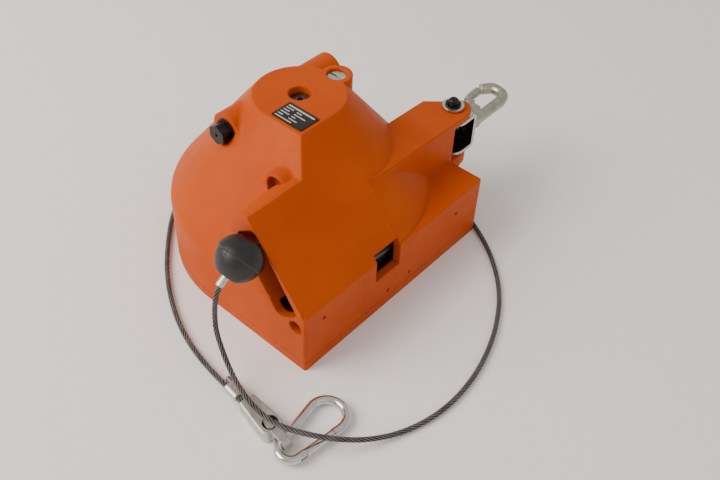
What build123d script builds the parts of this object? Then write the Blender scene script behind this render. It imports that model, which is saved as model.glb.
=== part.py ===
from build123d import *
import os
from math import acos, asin, atan2, cos, degrees, hypot, pi, radians, sin, sqrt, tan

# Spring balancer lying on its back cover. Millimetres. +Z is the drum axis, the origin is where that
# axis meets the underside of the back cover, +X points to the suspension hook, and the rope leaves
# towards -X. The flat side of the case faces -Y.

# ---- case -------------------------------------------------------------------------------------
CASE_R = 93.5            # radius of the round end, and half the width
CASE_FLAT = 94.0         # drum axis to the flat side
CASE_WALL = 6.0
COVER_T = 8.0            # back cover thickness, up to the parting line
LEDGE_Z = 51.0           # top of the upright wall
TOP_Z = 128.0            # top face
TOP_R = 32.0
ROOF_T = 12.0            # thickness of the top, where the arbor is held
EDGE_R = 1.2             # broken edges of the casting
CORNER_R = 2.0           # upright corners of the square end
SHOULDER_R = 12.0        # soft edge between the upright wall and the cone
BOSS_ROOT_R = 4.0        # round where a boss runs into the cone
ARBOR_HOLE_R = 7.85
SCREW_R = 2.5            # back cover screws, M5
SCREW_BOSS_R = 5.0
SCREW_LENGTH = 22.0
WINDOW_W, WINDOW_LOW, WINDOW_HIGH = 24.5, 32.0, 55.0
SIDE_BORE_R, SIDE_BORE_Y, SIDE_BORE_Z = 5.25, -85.7, 38.4
SMALL_HOLE_R = 1.5
SMALL_HOLES = ((-75.5, 39.7), (-10.2, 12.7), (13.1, 13.3), (64.7, 35.3))

# ---- rope, drum and rope slot ------------------------------------------------------------------
ROPE_D = 3.6
DRUM_LOW_Z, DRUM_HIGH_Z = 44.0, 91.0       # ends of the rope cone
ROPE_TO_WALL_LOW = 8.5                     # rope line to the inside of the case, large end
ROPE_TO_FLANK = 14.4                       # rope line to the outside of the cone, small end
GROOVE_PITCH = 6.0
ROPE_TURNS = 8
GROOVE_GAP = 0.1
SLOT_W = 20.4
SLOT_LOW_Z, SLOT_HIGH_Z = 43.6, 95.9
SNOUT_WALL = 5.6
STOPPER_Z = 85.6                           # height of the rope where it leaves the case

# ---- drum body ---------------------------------------------------------------------------------
SKIRT_R = 80.0
DRUM_WALL = 5.0
DRUM_RIM_R = 83.5
DRUM_HUB_R = 21.0
DRUM_BASE_Z, SPRING_TOP_Z, DRUM_WEB_T = 19.0, 42.0, 4.0
SPRING_COVER_T = 3.5
BEARING_R, BEARING_T = 16.0, 9.0           # 15 x 32 x 9 ball bearing
ARBOR_R = 7.5
RUN_GAP = 0.05                             # radial gap of a running fit
SPRING_HUB_R = 14.0
BAND_T, BAND_PITCH, BAND_TURNS = 1.4, 3.4, 16
LOCK_HOLES = 6

# ---- worm drive that winds the arbor -----------------------------------------------------------
WORM_Z, WHEEL_TEETH, WORM_MODULE, WORM_PITCH_R = 108.0, 40, 1.0, 6.0
WHEEL_T = 10.0
WORM_BOSS_R = 12.3
WORM_BOSS_NEAR, WORM_BOSS_FAR = -43.5, 57.0
WORM_BORE_R = 8.2
WORM_JOURNAL_R = 5.0
HEX_AF, HEX_LENGTH = 13.0, 8.0

# ---- blind boss, drum lock ---------------------------------------------------------------------
BLIND_BOSS_R, BLIND_BORE_R, BLIND_DEPTH = 10.5, 8.2, 5.0
BLIND_Y, BLIND_Z, BLIND_X = -33.5, 100.5, -56.2
LOCK_X, LOCK_Y = 33.5, -2.6
EAR_R, LOCK_HEAD_R, LOCK_SHANK_R = 11.0, 7.0, 4.0

# ---- suspension --------------------------------------------------------------------------------
ARM_LOW_Y, ARM_HIGH_Y = -64.5, -30.0
ARM_TOP_NEAR, ARM_TOP_FAR = 89.0, 84.5     # top of the arm over the drum axis, and at the pin
PIN_X, PIN_Y, PIN_R = 109.4, -50.3, 4.0
EAR_END_R = 13.5
GAP_LOW, GAP_HIGH = 48.2, 79.6             # fork gap
EAR_BOTTOM = 38.0
PIN_CLEAR = 0.05
BRACKET_T, BRACKET_W = 3.0, 27.0
BRACKET_REACH = 13.6                       # pin to outer face of the bracket's web
BRACKET_GAP = 0.4
HOOK_Z = 64.0
HOOK_BAR_R, LATCH_R, SHANK_R = 4.4, 3.4, 4.5

# ---- stopper and rope end ----------------------------------------------------------------------
STOPPER_R = 16.2
STOPPER_FRONT, STOPPER_REAR = 13.5, 13.0
STOPPER_TILT = 32.0                        # the stopper hangs nose down by this angle
FERRULE_R, FERRULE_L, FERRULE_SINK = 2.8, 10.0, 3.0
CLAMP_T, CLAMP_H, CLAMP_L = 1.5, 9.8, 38.0
WEDGE_R = 2.6
EYE_X, EYE_Y, CLAMP_TURN = -143.4, -123.4, 82.6
SLEEVE_L = 12.0
LINK_ROD_R, LINK_BIG_R, LINK_SMALL_R, LINK_SPAN = 3.0, 12.4, 7.5, 33.5

BASE = (Align.CENTER, Align.CENTER, Align.MIN)
ROPE_R = ROPE_D / 2
FLANK = (CASE_R - TOP_R) / (TOP_Z - LEDGE_Z)


def rod_z(radius, low, high, x=0.0, y=0.0):
    return Pos(x, y, low) * Cylinder(radius, high - low, align=BASE)


def rod_x(radius, near, far, y, z):
    return Pos(near, y, z) * Rot(0, 90, 0) * Cylinder(radius, far - near, align=BASE)


def rod_y(radius, near, far, x, z):
    return Pos(x, near, z) * Rot(-90, 0, 0) * Cylinder(radius, far - near, align=BASE)


def block(x0, x1, y0, y1, z0, z1):
    middle = Pos((x0 + x1) / 2, (y0 + y1) / 2, (z0 + z1) / 2)
    return middle * Box(x1 - x0, y1 - y0, z1 - z0)


def ring_z(outer, inner, low, high, x=0.0, y=0.0):
    return rod_z(outer, low, high, x, y) - rod_z(inner, low - 1, high + 1, x, y)


def flank_radius(z):
    """Radius of the cone's outside at height z."""
    return CASE_R - (z - LEDGE_Z) * FLANK


ROPE_LOW_R = CASE_R - CASE_WALL - ROPE_TO_WALL_LOW
ROPE_HIGH_R = flank_radius(DRUM_HIGH_Z) - ROPE_TO_FLANK
ROPE_SLOPE = (ROPE_LOW_R - ROPE_HIGH_R) / (DRUM_HIGH_Z - DRUM_LOW_Z)


def rope_radius(z):
    """Radius of the rope's centre line on the drum at height z."""
    return ROPE_LOW_R - (z - DRUM_LOW_Z) * ROPE_SLOPE


STOPPER_Y = -rope_radius(STOPPER_Z)
WHEEL_PITCH_R = WHEEL_TEETH * WORM_MODULE / 2
WORM_Y = WHEEL_PITCH_R + WORM_PITCH_R


# ---- the case ----------------------------------------------------------------------------------
def case_plan(inset=0.0):
    radius = CASE_R - inset
    depth = CASE_FLAT - inset
    return Circle(radius) + Pos(0, -depth / 2) * Rectangle(2 * radius, depth)


def slot_outline(half_width, low, high, corner):
    """Outline across the rope slot, in Y and Z: a bar laid along the rope cone."""
    foot = (-rope_radius(low), low)
    head = (-rope_radius(high), high)
    run = hypot(head[0] - foot[0], head[1] - foot[1])
    lean = degrees(atan2(head[1] - foot[1], head[0] - foot[0]))
    middle = ((foot[0] + head[0]) / 2, (foot[1] + head[1]) / 2)
    bar = RectangleRounded(run, 2 * half_width, corner)
    return Plane.YZ * (Pos(*middle) * Rot(0, 0, lean) * bar)


def round_case():
    """Cone on an upright round wall, turned in one piece with a soft shoulder."""
    outline = make_face(Plane.XZ * Polyline(
        (0, COVER_T), (CASE_R, COVER_T), (CASE_R, LEDGE_Z), (TOP_R, TOP_Z), (0, TOP_Z), (0, COVER_T)
    ))
    outline = fillet(outline.vertices().sort_by_distance((CASE_R, 0, LEDGE_Z))[0], SHOULDER_R)
    outline = fillet(outline.vertices().sort_by_distance((TOP_R, 0, TOP_Z))[0], EDGE_R)
    return revolve(outline, Axis.Z)


def square_corner():
    """The corner between the rope's end face and the flat side, drawn in towards the top."""
    centre = Pos(-CASE_R / 2, -CASE_FLAT / 2)
    foot = Pos(0, 0, LEDGE_Z) * centre * Rectangle(CASE_R, CASE_FLAT)
    head = Pos(-TOP_R / 2, -TOP_R / 2, TOP_Z) * Rectangle(TOP_R, TOP_R)
    corner = loft([foot, head], ruled=True)
    corner += extrude(Pos(0, 0, COVER_T) * centre * Rectangle(CASE_R, CASE_FLAT), LEDGE_Z - COVER_T)
    corner = fillet(corner.edges().sort_by_distance((-CASE_R, -CASE_FLAT / 2, LEDGE_Z))[0], SHOULDER_R)
    corner = fillet(corner.edges().sort_by_distance((-CASE_R, -CASE_FLAT, LEDGE_Z / 2))[0], CORNER_R)
    halfway = (CASE_R + TOP_R) / 2
    return fillet(corner.edges().sort_by_distance((-halfway, -halfway, (LEDGE_Z + TOP_Z) / 2))[0], EDGE_R)


def ledge():
    """Flat-topped part of the base below the arm."""
    slab = block(0, CASE_R, -CASE_FLAT, 0, COVER_T, LEDGE_Z)
    slab = fillet(slab.edges().sort_by_distance((CASE_R, -CASE_FLAT, LEDGE_Z / 2))[0], CORNER_R)
    outer = [
        slab.edges().sort_by_distance((CASE_R, -CASE_FLAT, LEDGE_Z))[0],
        slab.edges().sort_by_distance((CASE_R / 2, -CASE_FLAT, LEDGE_Z))[0],
        slab.edges().sort_by_distance((CASE_R, -CASE_FLAT / 2, LEDGE_Z))[0],
    ]
    return fillet(outer, EDGE_R)


def add_boss(body, boss, root_r):
    """Joins a boss to the body with a round of that radius at its root."""
    joined = body + boss
    roots = [edge for edge in new_edges(body, boss, combined=joined) if edge.length > 3]
    return fillet(roots, root_r)


def snout():
    """Rounded ridge that carries the rope slot out to the end face, cut to the sloping side."""
    half = SLOT_W / 2 + SNOUT_WALL
    outline = slot_outline(half, SLOT_LOW_Z - 10, SLOT_HIGH_Z + 10.5, half - 0.2)
    ridge = extrude(outline, CASE_R, dir=(-1, 0, 0))
    run, rise = CASE_FLAT - TOP_R, TOP_Z - LEDGE_Z
    slope = Plane.YZ * Polygon(
        (-CASE_FLAT, LEDGE_Z), (-CASE_FLAT + run, LEDGE_Z + rise), (0, TOP_Z), (0, LEDGE_Z), align=None
    )
    return ridge & extrude(slope, CASE_R, dir=(-1, 0, 0))


def arm():
    """Solid arm from the cone to the end face, with two ears that carry the hook bracket's pin."""
    fall = (ARM_TOP_NEAR - ARM_TOP_FAR) / PIN_X
    tip = PIN_X + EAR_END_R
    side = Plane.XZ * Polygon(
        (0, EAR_BOTTOM), (tip, EAR_BOTTOM), (tip, ARM_TOP_NEAR - fall * tip), (0, ARM_TOP_NEAR), align=None
    )
    bar = extrude(side, -ARM_LOW_Y + 1, dir=(0, -1, 0))
    shoulder, beyond = CASE_R + 5.0, tip + 20
    end = PIN_X - 2
    plan = Polygon((0, ARM_LOW_Y), (end, ARM_LOW_Y), (end, ARM_HIGH_Y), (0, ARM_HIGH_Y), align=None)
    corner_cut = Polygon(
        (shoulder, ARM_HIGH_Y + 1), (beyond, ARM_HIGH_Y + 1), (beyond, ARM_HIGH_Y + 1 - (beyond - shoulder)),
        align=None,
    )
    nose = Pos(PIN_X, PIN_Y) * Circle(EAR_END_R)
    outline = plan + nose + Polygon(
        (end, ARM_LOW_Y), (PIN_X, PIN_Y - EAR_END_R), (PIN_X, PIN_Y + EAR_END_R), (end, ARM_HIGH_Y),
        align=None,
    )
    bar = bar & extrude(outline - corner_cut, TOP_Z)
    below = block(-1, CASE_R - 1, ARM_LOW_Y - 1, 1, 0, LEDGE_Z - 2)
    gap = block(CASE_R + 1.0, tip + 5, ARM_LOW_Y - 5, ARM_HIGH_Y + 5, GAP_LOW, GAP_HIGH)
    return bar - below - gap - rod_z(PIN_R + PIN_CLEAR, 0, TOP_Z, PIN_X, PIN_Y)


def cover_screw_places():
    corner = SCREW_BOSS_R + CASE_WALL - 1.0
    rim = CASE_R - CASE_WALL + 1.0
    places = [(side * (CASE_R - corner), -CASE_FLAT + corner) for side in (-1, 1)]
    return places + [(rim * cos(radians(a)), rim * sin(radians(a))) for a in (18, 90, 162)]


def cavity():
    wall_run = CASE_WALL * sqrt(1 + FLANK ** 2)
    roof = TOP_Z - ROOF_T
    meet = LEDGE_Z + (CASE_WALL - wall_run) / FLANK
    low = extrude(Pos(0, 0, COVER_T) * case_plan(CASE_WALL), LEDGE_Z - CASE_WALL - COVER_T)
    barrel = rod_z(CASE_R - CASE_WALL, COVER_T, meet)
    cone_top = flank_radius(roof) - wall_run
    cone = Pos(0, 0, meet) * Cone(CASE_R - CASE_WALL, cone_top, roof - meet, align=BASE)
    return low + barrel + cone


def housing():
    body = round_case() + square_corner() + ledge()
    body = add_boss(body, rod_x(BLIND_BOSS_R, BLIND_X, 0, BLIND_Y, BLIND_Z), BOSS_ROOT_R)
    body = add_boss(body, rod_x(WORM_BOSS_R, WORM_BOSS_NEAR, 0, WORM_Y, WORM_Z), BOSS_ROOT_R)
    body = add_boss(body, rod_x(WORM_BOSS_R, 0, WORM_BOSS_FAR, WORM_Y, WORM_Z), BOSS_ROOT_R)
    body += rod_z(EAR_R, WORM_Z - 12, TOP_Z, LOCK_X, LOCK_Y) + snout() + arm()
    body -= rod_x(WORM_BORE_R + 0.6, -CASE_R, WORM_BOSS_NEAR, WORM_Y, WORM_Z)
    hollow = cavity()
    for x, y in cover_screw_places():
        hollow -= rod_z(SCREW_BOSS_R, COVER_T, COVER_T + SCREW_LENGTH, x, y)
    body -= hollow
    for x, y in cover_screw_places():
        body -= rod_z(SCREW_R, COVER_T - 1, COVER_T + SCREW_LENGTH - 4, x, y)
    body -= extrude(slot_outline(SLOT_W / 2, SLOT_LOW_Z, SLOT_HIGH_Z, 5.0), CASE_R + 1, dir=(-1, 0, 0))
    body -= block(-WINDOW_W, 0, -CASE_FLAT - 1, -CASE_FLAT + CASE_WALL + 6, WINDOW_LOW, WINDOW_HIGH)
    body -= rod_x(SIDE_BORE_R, -CASE_R - 1, -CASE_R + CASE_WALL + 1, SIDE_BORE_Y, SIDE_BORE_Z)
    for x, z in SMALL_HOLES:
        body -= rod_y(SMALL_HOLE_R, -CASE_FLAT - 1, -CASE_FLAT + CASE_WALL + 1, x, z)
    body -= rod_x(BLIND_BORE_R, BLIND_X - 1, BLIND_X + BLIND_DEPTH, BLIND_Y, BLIND_Z)
    body -= rod_z(ARBOR_HOLE_R, TOP_Z - ROOF_T - 1, TOP_Z + 1)
    body -= rod_z(BUSH_R, TOP_Z - ROOF_T - 1, UPPER_BUSH_TOP)
    body -= rod_x(WORM_BORE_R, WORM_BOSS_NEAR + 1.5, WORM_BOSS_FAR + 1, WORM_Y, WORM_Z)
    body -= rod_x(WORM_JOURNAL_R + 0.6, WORM_BOSS_NEAR - 1, 0, WORM_Y, WORM_Z)
    body -= rod_z(LOCK_HEAD_R + RUN_GAP, LOCK_SEAT_Z, TOP_Z + 1, LOCK_X, LOCK_Y)
    body -= rod_z(LOCK_SHANK_R + RUN_GAP, WORM_Z - 14, TOP_Z, LOCK_X, LOCK_Y)
    return body


BUSH_R = 10.0
UPPER_BUSH_TOP = TOP_Z - 5.5
LOWER_BUSH_LOW, LOWER_BUSH_TOP = 3.0, 14.0
LOCK_SEAT_Z = TOP_Z - 8.5


def back_cover():
    plate = extrude(case_plan(), COVER_T)
    plate = fillet(plate.edges().filter_by(Axis.Z), CORNER_R)
    plate = chamfer(plate.faces().sort_by(Axis.Z)[-1].outer_wire().edges(), 0.5)
    plate += rod_z(BUSH_R + 4.0, COVER_T, LOWER_BUSH_TOP)
    plate -= rod_z(BUSH_R, LOWER_BUSH_LOW, LOWER_BUSH_TOP + 1)
    for x, y in cover_screw_places():
        plate -= rod_z(SCREW_R + 0.25, -1, COVER_T + 1, x, y)
        plate -= rod_z(HEAD_R + 0.3, -1, HEAD_H + HEAD_SINK, x, y)
    for x, y in ring_places(CATCH_SCREW_R, 4, 45):
        plate -= rod_z(2.0, 3.0, COVER_T + 1, x, y)
    return plate


HEAD_R, HEAD_H, HEAD_SINK = 4.25, 5.0, 0.4


def cap_screw(x, y, seat, direction, shank_r, head_r, head_h, length):
    """Socket cap screw whose head sits on seat; direction is +1 when the shank points up."""
    socket = Pos(0, 0, -head_h - 1) * extrude(RegularPolygon(shank_r * 0.92, 6), head_h * 0.55 + 1)
    screw = rod_z(head_r, -head_h, 0) + rod_z(shank_r, 0, length) - socket
    turn = Rot(0, 0, 0) if direction > 0 else Rot(180, 0, 0)
    return Pos(x, y, seat) * turn * screw


def cover_screws():
    seat = HEAD_H + HEAD_SINK
    length = COVER_T - seat + SCREW_LENGTH - 5
    return [cap_screw(x, y, seat, 1, SCREW_R, HEAD_R, HEAD_H, length) for x, y in cover_screw_places()]


def ring_places(radius, count, first):
    angles = [radians(first + 360 / count * i) for i in range(count)]
    return [(radius * cos(a), radius * sin(a)) for a in angles]


WORM_BUSH_L = 10.0


def worm_bush(near):
    far = near + WORM_BUSH_L
    bore = rod_x(WORM_JOURNAL_R + RUN_GAP, near - 1, far + 1, WORM_Y, WORM_Z)
    return rod_x(WORM_BORE_R, near, far, WORM_Y, WORM_Z) - bore


# ---- catch ring and pawls: they stop the drum if the mainspring breaks ---------------------------
CATCH_OUTER_R, CATCH_INNER_R, CATCH_TOOTH, CATCH_T = 80.0, 69.5, 4.5, 5.0
CATCH_SCREW_R = 77.0
CATCH_TEETH = 16
PAWL_T, PAWL_LENGTH, PAWL_PIVOT_R = 4.0, 24.0, 58.0
PAWL_PIN_R = 3.0


def catch_ring():
    ring = ring_z(CATCH_OUTER_R, CATCH_INNER_R, COVER_T, COVER_T + CATCH_T)
    deep = CATCH_INNER_R + CATCH_TOOTH
    pitch = 2 * pi / CATCH_TEETH
    first = pawl_reach() + radians(0.8)
    for i in range(CATCH_TEETH):
        face, foot = first + pitch * i, first + pitch * (i - 0.72)
        notch = Pos(0, 0, COVER_T - 1) * Polygon(
            ((CATCH_INNER_R - 4) * cos(face), (CATCH_INNER_R - 4) * sin(face)),
            (deep * cos(face), deep * sin(face)),
            ((CATCH_INNER_R - 0.2) * cos(foot), (CATCH_INNER_R - 0.2) * sin(foot)), align=None,
        )
        ring -= extrude(notch, CATCH_T + 2, dir=(0, 0, 1))
    for x, y in ring_places(CATCH_SCREW_R, 4, 45):
        ring -= rod_z(2.15, COVER_T - 1, COVER_T + CATCH_T + 1, x, y)
        ring -= rod_z(3.7, COVER_T + CATCH_T - 3.0, COVER_T + CATCH_T + 1, x, y)
    return ring


def catch_screws():
    seat = COVER_T + CATCH_T - 3.0
    places = ring_places(CATCH_SCREW_R, 4, 45)
    return [cap_screw(x, y, seat, -1, 2.0, 3.5, 3.0, seat - 3.5) for x, y in places]


PAWL_LOW = COVER_T + 0.8


def pawl_reach():
    """Angle from a pawl's pivot to its tip, seen from the drum axis."""
    tip_r = CATCH_INNER_R - 1.0
    return acos((PAWL_PIVOT_R ** 2 + tip_r ** 2 - PAWL_LENGTH ** 2) / (2 * PAWL_PIVOT_R * tip_r))


def pawl(turn):
    """Flat pawl that trails just inside the catch ring; its tip can swing out into a notch."""
    tip_r, reach = CATCH_INNER_R - 1.0, pawl_reach()
    tip = (tip_r * cos(reach), tip_r * sin(reach))
    pivot = (PAWL_PIVOT_R, 0.0)
    along = atan2(tip[1] - pivot[1], tip[0] - pivot[0])
    side = (-sin(along), cos(along))
    face = Pos(*pivot) * Circle(5.0) + Polygon(
        (pivot[0] - 4.6 * side[0], pivot[1] - 4.6 * side[1]), tip,
        (tip[0] + 3.0 * side[0] - 0.5 * cos(along), tip[1] + 3.0 * side[1] - 0.5 * sin(along)),
        (pivot[0] + 4.6 * side[0], pivot[1] + 4.6 * side[1]), align=None,
    )
    body = extrude(Pos(0, 0, PAWL_LOW) * face, PAWL_T)
    body -= rod_z(PAWL_PIN_R + RUN_GAP, 0, COVER_T + 12, pivot[0], pivot[1])
    return Rot(0, 0, turn) * body


def pawl_pins():
    low = PAWL_LOW - 0.5
    return [rod_z(PAWL_PIN_R, low, DRUM_BASE_Z, x, y) for x, y in ring_places(PAWL_PIVOT_R, 2, 0)]


# ---- drum body ---------------------------------------------------------------------------------
def groove_heights():
    """Height of each rope turn, from the large end to the one below the place where the rope leaves."""
    step = GROOVE_PITCH / sqrt(1 + ROPE_SLOPE ** 2)
    return [STOPPER_Z - step * (ROPE_TURNS - i) for i in range(ROPE_TURNS + 1)]


def rope_drum():
    skin = ROPE_R * 0.65
    low, high = SPRING_TOP_Z, DRUM_HIGH_Z
    profile = Plane.XZ * Polygon(
        (0, DRUM_BASE_Z), (SKIRT_R, DRUM_BASE_Z), (SKIRT_R, low - 5.0), (DRUM_RIM_R, low - 5.0),
        (DRUM_RIM_R, low - 2.0), (rope_radius(low - 2.0) - skin, low - 2.0), (rope_radius(high) - skin, high),
        (rope_radius(high) + 2.0, high), (rope_radius(high) + 2.0, high + 2.5), (0, high + 2.5), align=None,
    )
    drum = revolve(profile, Axis.Z)
    drum -= rod_z(SPRING_CHAMBER_R, DRUM_BASE_Z - 1, SPRING_TOP_Z)
    inside_low, inside_high = SPRING_TOP_Z + DRUM_WEB_T, high + 2.5 - DRUM_WEB_T
    wall = DRUM_WALL * sqrt(1 + ROPE_SLOPE ** 2) + skin
    hollow = Plane.XZ * Polygon(
        (DRUM_HUB_R, inside_low), (rope_radius(inside_low) - wall, inside_low),
        (rope_radius(inside_high) - wall, inside_high), (DRUM_HUB_R, inside_high), align=None,
    )
    drum -= revolve(hollow, Axis.Z)
    drum -= rod_z(ARBOR_R + 2.5, DRUM_BASE_Z, DRUM_HIGH_Z + 5)
    drum -= rod_z(BEARING_R, DRUM_BASE_Z, LOWER_BEARING_Z + BEARING_T)
    drum -= rod_z(BEARING_R, UPPER_BEARING_Z, DRUM_HIGH_Z + 5)
    for z in groove_heights():
        drum -= Pos(0, 0, z) * Torus(rope_radius(z), ROPE_R + GROOVE_GAP)
    for x, y in ring_places(hypot(LOCK_X, LOCK_Y), LOCK_HOLES, degrees(atan2(LOCK_Y, LOCK_X))):
        drum -= rod_z(LOCK_SHANK_R + 1.0, inside_high - 1, DRUM_HIGH_Z + 5, x, y)
    for x, y in ring_places(SKIRT_SCREW_R, 6, 30):
        drum -= rod_z(1.5, DRUM_BASE_Z - 1, DRUM_BASE_Z + 10, x, y)
    return drum


SPRING_CHAMBER_R = SKIRT_R - DRUM_WALL
SKIRT_SCREW_R = SKIRT_R - DRUM_WALL / 2
LOWER_BEARING_Z = SPRING_TOP_Z + 1.0
UPPER_BEARING_Z = DRUM_HIGH_Z + 2.5 - BEARING_T


def rope_windings():
    """Turns of rope that lie on the drum; the last groove is empty, its rope has left the case."""
    return [Pos(0, 0, z) * Torus(rope_radius(z), ROPE_R) for z in groove_heights()[:-1]]


def ball_bearing(low):
    """Two rings and the balls between them."""
    gap_inner, gap_outer = ARBOR_R + 2.9, BEARING_R - 2.9
    middle = (gap_inner + gap_outer) / 2
    ball_r = (gap_outer - gap_inner) / 2 + 1.0
    groove = Pos(0, 0, low + BEARING_T / 2) * Torus(middle, ball_r + 0.02)
    rings = [
        ring_z(gap_inner, ARBOR_R + RUN_GAP, low, low + BEARING_T) - groove,
        ring_z(BEARING_R, gap_outer, low, low + BEARING_T) - groove,
    ]
    balls = [Pos(x, y, low + BEARING_T / 2) * Sphere(ball_r) for x, y in ring_places(middle, 9, 0)]
    return rings + balls


def spring_cover():
    low = DRUM_BASE_Z - SPRING_COVER_T
    plate = ring_z(SKIRT_R - 0.5, SPRING_HUB_R + 1.0, low, DRUM_BASE_Z)
    for x, y in ring_places(SKIRT_SCREW_R, 6, 30):
        plate -= rod_z(1.7, low - 1, DRUM_BASE_Z + 1, x, y)
    for x, y in ring_places(PAWL_PIVOT_R, 2, 0):
        plate -= rod_z(PAWL_PIN_R, low - 1, DRUM_BASE_Z + 1, x, y)
    return plate


def spring_cover_screws():
    seat = DRUM_BASE_Z - SPRING_COVER_T
    return [cap_screw(x, y, seat, 1, 1.5, 2.4, 1.4, 11.0) for x, y in ring_places(SKIRT_SCREW_R, 6, 30)]


def mainspring():
    """Flat spiral spring: half turns about two centres, so that its pitch is even."""
    low, high = DRUM_BASE_Z + 1.0, SPRING_TOP_Z - 1.0
    shift = BAND_PITCH / 4
    first = SPRING_CHAMBER_R - 0.6
    edges = []
    for side in (0, BAND_T):
        for i in range(2 * BAND_TURNS):
            radius = first - side - shift - i * BAND_PITCH / 2
            centre = shift if i % 2 == 0 else -shift
            start = 0 if i % 2 == 0 else 180
            edges.append(Pos(centre, 0, low) * CenterArc((0, 0), radius, start, 180))
    outer_start = first
    inner_end = first - 2 * BAND_TURNS * BAND_PITCH / 2
    edges.append(Line((outer_start, 0, low), (outer_start - BAND_T, 0, low)))
    edges.append(Line((inner_end, 0, low), (inner_end - BAND_T, 0, low)))
    return extrude(make_face(edges), high - low, dir=(0, 0, 1))


# ---- arbor, worm wheel and worm ------------------------------------------------------------------
WHEEL_LOW, WHEEL_HUB = WORM_Z - WHEEL_T / 2, 3.0


def spring_arbor():
    body = rod_z(ARBOR_R, LOWER_BUSH_LOW + 0.5, UPPER_BUSH_TOP + 0.4)
    body += rod_z(SPRING_HUB_R, DRUM_BASE_Z - 1.0, SPRING_TOP_Z - 0.5)
    body = chamfer(body.edges().filter_by(GeomType.CIRCLE).sort_by(Axis.Z)[-1], 0.8)
    body -= block(-2.0, 2.0, ARBOR_R - 2.0, ARBOR_R + 1, WHEEL_LOW - 0.2, WHEEL_LOW + WHEEL_T + 0.2)
    return body - rod_z(2.0, UPPER_BUSH_TOP - 3, TOP_Z)


def wheel_key():
    return block(-1.98, 1.98, ARBOR_R - 2.0, ARBOR_R + 1.98, WHEEL_LOW, WHEEL_LOW + WHEEL_T)


def arbor_spacer():
    low, high = UPPER_BEARING_Z + BEARING_T + 0.1, WHEEL_LOW - WHEEL_HUB - 0.1
    return ring_z(ARBOR_R + 3.0, ARBOR_R + RUN_GAP, low, high)


def worm_wheel():
    outer = WHEEL_PITCH_R + WORM_MODULE
    root = WHEEL_PITCH_R - 1.25 * WORM_MODULE
    pitch = pi * WORM_MODULE
    top = WHEEL_LOW + WHEEL_T
    wheel = rod_z(outer, WHEEL_LOW, top) + rod_z(12.0, WHEEL_LOW - WHEEL_HUB, top)
    lead = degrees(atan2(pitch, 2 * pi * WORM_PITCH_R))
    half_root, half_tip = pitch * 0.14, pitch * 0.40
    gap = Pos(0, 0, -WHEEL_T) * Polygon(
        (root, -half_root), (outer + 1, -half_tip - 0.35), (outer + 1, half_tip + 0.35), (root, half_root),
        align=None,
    )
    cutter = extrude(gap, 2 * WHEEL_T, dir=(0, 0, 1))
    for i in range(WHEEL_TEETH):
        turn = 90 + 360 / WHEEL_TEETH * i
        wheel -= Rot(0, 0, turn) * Pos(0, 0, WORM_Z) * Rot(-lead, 0, 0) * cutter
    wheel -= rod_z(ARBOR_R, 0, TOP_Z)
    wheel -= block(-2.0, 2.0, 0, ARBOR_R + 2.0, WHEEL_LOW - 5, WHEEL_LOW + WHEEL_T + 1)
    return wheel


def worm_shaft():
    """Journals, one-start worm thread and the stub that carries the adjusting hexagon."""
    root = WORM_PITCH_R - 1.25 * WORM_MODULE
    outer = WORM_PITCH_R + WORM_MODULE - 0.15
    pitch = pi * WORM_MODULE
    half = 3.75 * pitch
    path = Pos(-half, 0, 0) * Rot(0, 90, 0) * Helix(pitch, 2 * half, root)
    base, crest = pitch * 0.22, pitch * 0.10
    start = path @ 0
    section = Plane(origin=start, x_dir=(1, 0, 0), z_dir=path % 0) * Polygon(
        (-base, -0.3), (base, -0.3), (crest, outer - root), (-crest, outer - root), align=None
    )
    thread = sweep(section, path, is_frenet=True)
    core = rod_x(root, -half - 2, half + 2, 0, 0)
    near = rod_x(WORM_JOURNAL_R, WORM_BOSS_NEAR - 0.2, -half - 2, 0, 0)
    far = rod_x(WORM_JOURNAL_R, half + 2, WORM_PLUG_NEAR - 0.5, 0, 0)
    stub = rod_x(HEX_STUB_R, WORM_BOSS_NEAR - 1 - HEX_LENGTH + 2.0, WORM_BOSS_NEAR - 0.2, 0, 0)
    shaft = core + near + far + stub
    return Pos(0, WORM_Y, WORM_Z) * (shaft + thread)


def tension_hex():
    """Black adjusting hexagon with a round collar, pressed on the worm shaft's stub."""
    outer = WORM_BOSS_NEAR - 1.0
    head = Rot(0, 90, 0) * extrude(RegularPolygon(HEX_AF / 2, 6, major_radius=False), HEX_LENGTH)
    head = Pos(outer - HEX_LENGTH, 0, 0) * head
    dome = rod_x(HEX_AF / sqrt(3) - 0.35, outer - HEX_LENGTH, outer, 0, 0)
    collar = rod_x(WORM_BORE_R, outer, outer + 0.8, 0, 0)
    dimple = rod_x(1.2, outer - HEX_LENGTH - 1, outer - HEX_LENGTH + 1.0, 0, 0)
    body = (head & dome) + collar - rod_x(HEX_STUB_R, outer - HEX_LENGTH + 2.0, outer + 2, 0, 0) - dimple
    return Pos(0, WORM_Y, WORM_Z) * body


HEX_STUB_R = 3.5
WORM_PLUG_NEAR, WORM_PLUG_FAR = WORM_BOSS_FAR - 11.0, WORM_BOSS_FAR - 1.5


def worm_plug():
    """Threaded plug that closes the far end of the worm bore, with a screwdriver slot."""
    plug = rod_x(WORM_BORE_R, WORM_PLUG_NEAR, WORM_PLUG_FAR, WORM_Y, WORM_Z)
    slot = block(WORM_PLUG_FAR - 2.0, WORM_PLUG_FAR + 1, WORM_Y - 10, WORM_Y + 10, WORM_Z - 1, WORM_Z + 1)
    return plug - slot


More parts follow.
